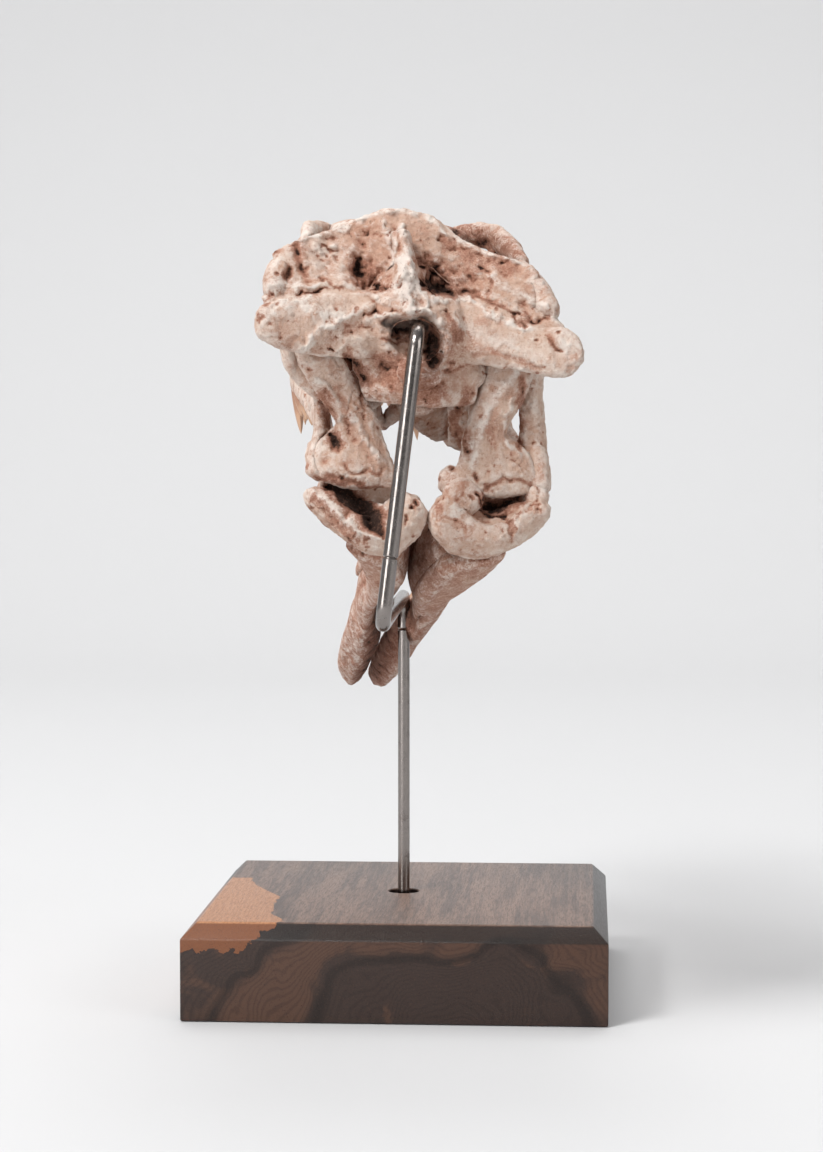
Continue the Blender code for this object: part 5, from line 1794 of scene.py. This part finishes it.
@dataclass
class HardwoodBlock:
    """The square block, with chamfered top edges and the socket that holds the post.

    Attributes:
        node: the solid it stands for, which gives its sizes.
        bevel: how far the chamfer goes in and down, in millimetres.
        softened: how far every edge is rounded.
        socket: x and y of its middle, its radius and its depth.
        flare: how far the socket's mouth widens, and how far down that starts.
        sides: points round the socket.
    """

    node: str = "mount_block"
    bevel: float = 4.0
    softened: float = 0.45
    socket: Four = (-0.9, 0.0, 4.2, 1.2)
    flare: Pair = (0.55, 0.25)
    sides: int = 64

    def build(self, finish: Material) -> Object:
        """Make the block inside its solid's own box.

        Args:
            finish: its wood.

        Returns:
            The finished object.
        """
        low, high = (np.array(corner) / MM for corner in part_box(self.node))
        shape = bmesh.new()
        rings = []
        for z, inset in ((low[2], 0.0), (high[2] - self.bevel, 0.0), (high[2], self.bevel)):
            corners = ((-1, -1), (1, -1), (1, 1), (-1, 1))
            centre, half = (low + high) / 2, (high - low) / 2 - inset
            ring = [(centre[0] + i * half[0], centre[1] + j * half[1], z) for i, j in corners]
            rings.append([shape.verts.new(point) for point in ring])
        shape.faces.new(rings[0][::-1])
        walls(shape, rings)
        shape.faces.new(rings[-1])
        rounding = {"offset": self.softened, "segments": 3, "profile": 0.6, "affect": "EDGES"}
        bmesh.ops.bevel(shape, geom=shape.edges[:], **rounding)
        block = placed(shape, "hardwood_block")
        self.cut_socket(block, high[2])
        dressed(block, finish, sharp=30)
        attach(block, BODY)
        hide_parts(self.node)
        log.info("hardwood block: %d faces", len(block.data.polygons))
        return block

    def cut_socket(self, block: Object, top: float) -> None:
        """Sink the shallow round socket into the top.

        Args:
            block: the block.
            top: the height of its top, in millimetres.
        """
        x, y, radius, deep = self.socket
        wider, start = self.flare
        shape = bmesh.new()
        rings = []
        for z, wide in ((top - deep, radius), (top - start, radius), (top + 0.3, radius + wider)):
            turns = (2 * math.pi * i / self.sides for i in range(self.sides))
            ring = [(x + wide * math.cos(t), y + wide * math.sin(t), z) for t in turns]
            rings.append([shape.verts.new(point) for point in ring])
        walls(shape, rings)
        shape.faces.new(rings[0][::-1])
        shape.faces.new(rings[-1])
        cutter = placed(shape, "socket_cutter")
        step = block.modifiers.new("Socket", "BOOLEAN")
        step.operation = "DIFFERENCE"
        step.object = cutter
        applied(block)
        bpy.data.objects.remove(cutter)


@dataclass
class SteelRod:
    """The post, and the bent rod in two halves that screw together above the lower bend.

    Attributes:
        post_at: x and y of the post, in millimetres.
        post_radius, radius: of the post and of the rod.
        post_low, post_high: the heights of the post's ends.
        arm_height: how high the arm lies.
        near, top: the corners below and behind the skull.
        stub_aim, stub_long: the way the last piece points and how long it is.
        bend: the radius of the bends, along the middle of the rod.
        seam: where the halves meet, as a share of the way from near to top.
        sides: points round a bar.
    """

    post_at: Pair = (-0.9, 0.0)
    post_radius: float = 1.6
    radius: float = 1.75
    post_low: float = 24.1
    post_high: float = 96.5
    arm_height: float = 105.8
    near: Triple = (2.2, -119.5, 105.8)
    top: Triple = (10.2, -118.0, 173.2)
    stub_aim: Triple = (-0.05, 1.0, 0.0)
    stub_long: float = 17.0
    bend: float = 4.5
    seam: float = 0.23
    sides: int = 40

    def rounded(self, *corners: Vector) -> list[Vector]:
        """Put a bend at each inner corner of a route.

        Args:
            *corners: in millimetres, from start to end.

        Returns:
            The points along the route.
        """
        path = [corners[0]]
        for before, corner, after in zip(corners, corners[1:], corners[2:]):
            back, on = (before - corner).normalized(), (after - corner).normalized()
            half = back.angle(on) / 2
            cut = self.bend / math.tan(half)
            middle = corner + (back + on).normalized() * self.bend / math.sin(half)
            first, last = corner + back * cut - middle, corner + on * cut - middle
            turn = first.rotation_difference(last)
            for i in range(17):
                path.append(middle + turn.__class__().slerp(turn, i / 16) @ first)
        path.append(corners[-1])
        return path

    def eased(self, radius: float, start: Pair, end: Pair) -> list[Pair]:
        """Round off both ends of a bar.

        Args:
            radius: the bar's own.
            start, end: how much thinner that end is, and over what length.

        Returns:
            Pairs of the distance and the radius there, as sweep takes them.
        """
        first = [(0.0, radius - start[0]), (start[1], radius)]
        return [*first, (-end[1], radius), (-0.0001, radius - end[0])]

    def sweep(
        self, name: str, node: str, path: list[Vector], sizes: list[Pair], finish: Material
    ) -> Object:
        """A round bar along the path.

        Args:
            name: the piece's name.
            node: the solid it stands for.
            path: points in millimetres.
            sizes: pairs of the distance from the start and the radius there; negative
                distances count back from the end.
            finish: its material.

        Returns:
            The finished object.
        """
        lengths = [0.0]
        for start, end in zip(path, path[1:]):
            lengths.append(lengths[-1] + (end - start).length)
        whole = lengths[-1]
        keys = sorted((s if s >= 0 else whole + s, r) for s, r in sizes)
        stops = sorted({round(s, 4) for s, _ in keys} | {*lengths} | {*np.arange(2, whole, 2.0)})
        shape = bmesh.new()
        rings, side = [], None
        for stop in stops:
            k = min(max(np.searchsorted(lengths, stop) - 1, 0), len(path) - 2)
            share = (stop - lengths[k]) / max(lengths[k + 1] - lengths[k], 1e-9)
            centre = path[k].lerp(path[k + 1], min(max(share, 0.0), 1.0))
            aim = (path[k + 1] - path[k]).normalized()
            if 0 < k < len(path) - 2:
                aim = aim.lerp((path[k + 2] - path[k + 1]).normalized(), 0.5 * share).normalized()
            side = side or aim.orthogonal()
            side = (side - side.dot(aim) * aim).normalized()
            other = aim.cross(side)
            wide = float(np.interp(stop, *zip(*keys)))
            turns = (2 * math.pi * j / self.sides for j in range(self.sides))
            ring = [centre + (side * math.cos(t) + other * math.sin(t)) * wide for t in turns]
            rings.append([shape.verts.new(point) for point in ring])
        walls(shape, rings)
        shape.faces.new(rings[0][::-1])
        shape.faces.new(rings[-1])
        bmesh.ops.recalc_face_normals(shape, faces=shape.faces)
        obj = placed(shape, name)
        dressed(obj, finish, sharp=35)
        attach(obj, BODY)
        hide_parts(node)
        log.info("%s: %.0f mm", name, whole)
        return obj

    def build(self, finish: Material) -> None:
        """Make the post and both halves of the rod.

        Args:
            finish: their steel.
        """
        x, y = self.post_at
        low, high = Vector((x, y, self.post_low)), Vector((x, y, self.post_high))
        foot, corner = Vector((x, y, self.post_high + 0.3)), Vector((x, y, self.arm_height))
        near, top = Vector(self.near), Vector(self.top)
        seam = near.lerp(top, self.seam)
        above = seam + (top - near).normalized() * 0.05
        stub = top + Vector(self.stub_aim).normalized() * self.stub_long
        sizes = self.eased(self.post_radius, (0.25, 0.25), (0.2, 0.2))
        self.sweep("post", "mount_post", [low, high], sizes, finish)
        route = self.rounded(foot, corner, near, seam)
        sizes = self.eased(self.radius, (0.25, 0.3), (0.3, 0.35))
        self.sweep("arm", "mount_arm", route, sizes, finish)
        route = self.rounded(above, top, stub)
        sizes = self.eased(self.radius, (0.3, 0.35), (0.6, 0.6))
        self.sweep("upright", "mount_upright", route, sizes, finish)


# --- Stage, light and camera ----------------------------------------------------------------


@dataclass
class Studio:
    """A pale sweep, one large soft key from the upper left, weak fills and the camera.

    Attributes:
        floor_wide, behind, before, tall: the sweep's sizes, in metres.
        curve: the radius of its bend.
        sunk: how far the floor lies under the specimen, so that they don't touch.
        lamps: the name, place, aim, watts and width of each light.
        lens, sensor: the camera's focal length and its sensor's width, in millimetres.
        eye: where the camera stands, in metres.
        pan, dip: how far it is turned to the left and down, in degrees.
    """

    floor_wide: float = 4.0
    behind: float = 1.5
    before: float = 2.2
    tall: float = 2.4
    curve: float = 0.55
    sunk: float = 0.0002
    lamps: tuple[tuple[str, Triple, Triple, float, float], ...] = (
        ("key", (-0.95, -1.15, 1.60), (0.0, -0.05, 0.14), 40.0, 0.65),
        ("fill", (1.6, -1.1, 0.7), (0.0, 0.0, 0.12), 11.0, 1.2),
        ("low", (-0.95, -1.25, 0.30), (0.0, -0.1, 0.13), 6.0, 0.6),
        ("top", (0.0, 0.75, 1.9), (0.0, 0.2, 0.0), 23.0, 1.5),
    )
    lens: float = 84.6
    sensor: float = 36.0
    eye: Triple = (0.0482, -0.733, 0.1483)
    pan: float = 3.67
    dip: float = 2.9

    def sweep(self, finish: Material) -> None:
        """The floor, which rises behind the specimen in one curve.

        Args:
            finish: its paper.
        """
        level = self.behind - self.curve
        profile = [(-self.before, 0.0), (0.0, 0.0), (level, 0.0)]
        for i in range(1, 13):
            turn = math.pi / 2 * i / 12
            rise = self.curve * (1 - math.cos(turn))
            profile.append((level + self.curve * math.sin(turn), rise))
        profile.append((self.behind, self.tall))
        half = self.floor_wide / 2
        points = [(x, y, z - self.sunk) for y, z in profile for x in (-half, half)]
        faces = [(2 * i, 2 * i + 1, 2 * i + 3, 2 * i + 2) for i in range(len(profile) - 1)]
        floor = new_object("pale_sweep", np.array(points), faces)
        dressed(floor, finish)

    def lamp(self, name: str, at: Triple, aim: Triple, watts: float, wide: float) -> None:
        """A square soft light.

        Args:
            name: the light's name.
            at, aim: where it is and what it faces, in metres.
            watts, wide: its strength and the length of its sides.
        """
        light = bpy.data.lights.new(name, "AREA")
        light.energy = watts
        light.size = wide
        obj = linked(name, light)
        obj.location = at
        obj.rotation_euler = (Vector(aim) - Vector(at)).to_track_quat("-Z", "Y").to_euler()

    def surround(self) -> None:
        """The even surroundings, paler above and to the left."""
        world = bpy.data.worlds.new("studio")
        world.use_nodes = True
        g = Graph(world.node_tree)
        way = g.parts(g.add("ShaderNodeTexCoord").outputs["Generated"])
        lit = g.less(g.times(way[2], 0.40), g.times(way[0], 0.45))
        tone = g.mix(g.ramp(lit, -0.55, 0.65), (0.030, 0.030, 0.031), (0.44, 0.44, 0.447))
        back = world.node_tree.nodes["Background"]
        g.tree.links.new(tone, back.inputs[0])
        bpy.context.scene.world = world

    def camera(self) -> None:
        """The camera, a little below the skull's level and nearly straight behind it."""
        data = bpy.data.cameras.new("camera")
        data.lens = self.lens
        data.sensor_width = self.sensor
        data.clip_start = 0.01
        obj = linked("camera", data)
        obj.location = self.eye
        pan = Matrix.Rotation(math.radians(self.pan), 4, "Z")
        tilt = Matrix.Rotation(math.radians(90 - self.dip), 4, "X")
        obj.rotation_euler = (pan @ tilt).to_euler()
        bpy.context.scene.camera = obj

    def build(self) -> None:
        """Make the stage, the lights and the camera."""
        self.sweep(PaperFinish().build())
        for lamp in self.lamps:
            self.lamp(*lamp)
        self.surround()
        self.camera()
        bpy.context.scene.view_settings.view_transform = "Standard"
        log.info("studio: %d lamps", len(self.lamps))


# --- The specimen -----------------------------------------------------------------------------


@dataclass
class Specimen:
    """The skull and its stand.

    Attributes:
        skull_nodes, jaw_nodes: the bones that are there on both sides.
        fine_nodes: those that show from the rear, which get a finer skin.
        jaw_tint, joint_tint: rust, grey and pale that the jaw holds, and at its joint.
    """

    skull_nodes: tuple[str, ...] = (
        "premaxilla", "maxilla", "nasal", "lacrimal", "frontal", "postorbital",
        "squamosal", "quadratojugal", "jugal", "pterygoid", "palatine", "ectopterygoid",
        "quadrate",
    )
    jaw_nodes: tuple[str, ...] = ("articular", "dentary", "surangular", "angular", "splenial")
    fine_nodes: tuple[str, ...] = ("squamosal", "quadrate", "postorbital", "quadratojugal")
    jaw_tint: Triple = (0.34, 0.16, 0.0)
    joint_tint: Triple = (0.08, 0.0, 0.0)

    def bones(self) -> list[FossilBone]:
        """Every bone, with what is cut into it.

        Returns:
            The bones in the order in which they are made.
        """
        occiput = OCCIPUT + pinholes(seed=3, many=90, box=(-34, 34, -27, 36), reach=BACK)
        roof = roof_marks()
        skull = occiput + cheek_marks(View.RIGHT, 5) + cheek_marks(View.LEFT, 9) + roof
        jaw = JAW_REAR + jaw_marks(View.RIGHT, 15) + jaw_marks(View.LEFT, 19)
        jaw += pinholes(seed=8, many=60, box=(-28, 28, -16, 4), reach=NEAR_JAW)
        made = [
            FossilBone("braincase", SKULL, occiput, FINE, fillings("braincase")),
            FossilBone("parietal", SKULL, occiput + roof, FINE),
            FossilBone("vomer", SKULL, ()),
        ]
        for word in ("left", "right"):
            for name in self.skull_nodes:
                node = f"{name}_{word}"
                skin = FINE if name in self.fine_nodes else PLAIN
                extras, gum = fillings(node), GUMS.get(name, ())
                made.append(FossilBone(node, SKULL, skull, skin, extras, gum=gum))
            for name in self.jaw_nodes:
                node = f"{name}_{word}"
                skin, tint = PLAIN, self.jaw_tint
                if name == "articular":
                    skin, tint = CHIPPED, self.joint_tint
                extras, gum = fillings(node), GUMS.get(name, ())
                made.append(FossilBone(node, JAW, jaw, skin, extras, tint, "jaw_bone", gum))
        return made

    def build(self) -> None:
        """Make every piece."""
        bone = BoneFinish("fossil_bone").build()
        jaw = BoneFinish("fossil_jaw", drawn=0.5, sanded=0.24).build()
        skull_skin, jaw_skin = FossilSkin(bone), FossilSkin(jaw)
        for part in self.bones():
            of_jaw = part.slot == "jaw_bone"
            part.build(jaw_skin if of_jaw else skull_skin, jaw if of_jaw else bone)
        enamel = EnamelFinish().build()
        for side in (1, -1):
            for row in teeth_of(side, enamel):
                row.build()
        SteelRod().build(SteelFinish().build())
        HardwoodBlock().build(WoodFinish().build())


def main() -> None:
    """Build everything."""
    logging.basicConfig(level=logging.INFO, format="%(name)s: %(message)s")
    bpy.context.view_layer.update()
    Specimen().build()
    Studio().build()


if __name__ == "__main__":
    main()
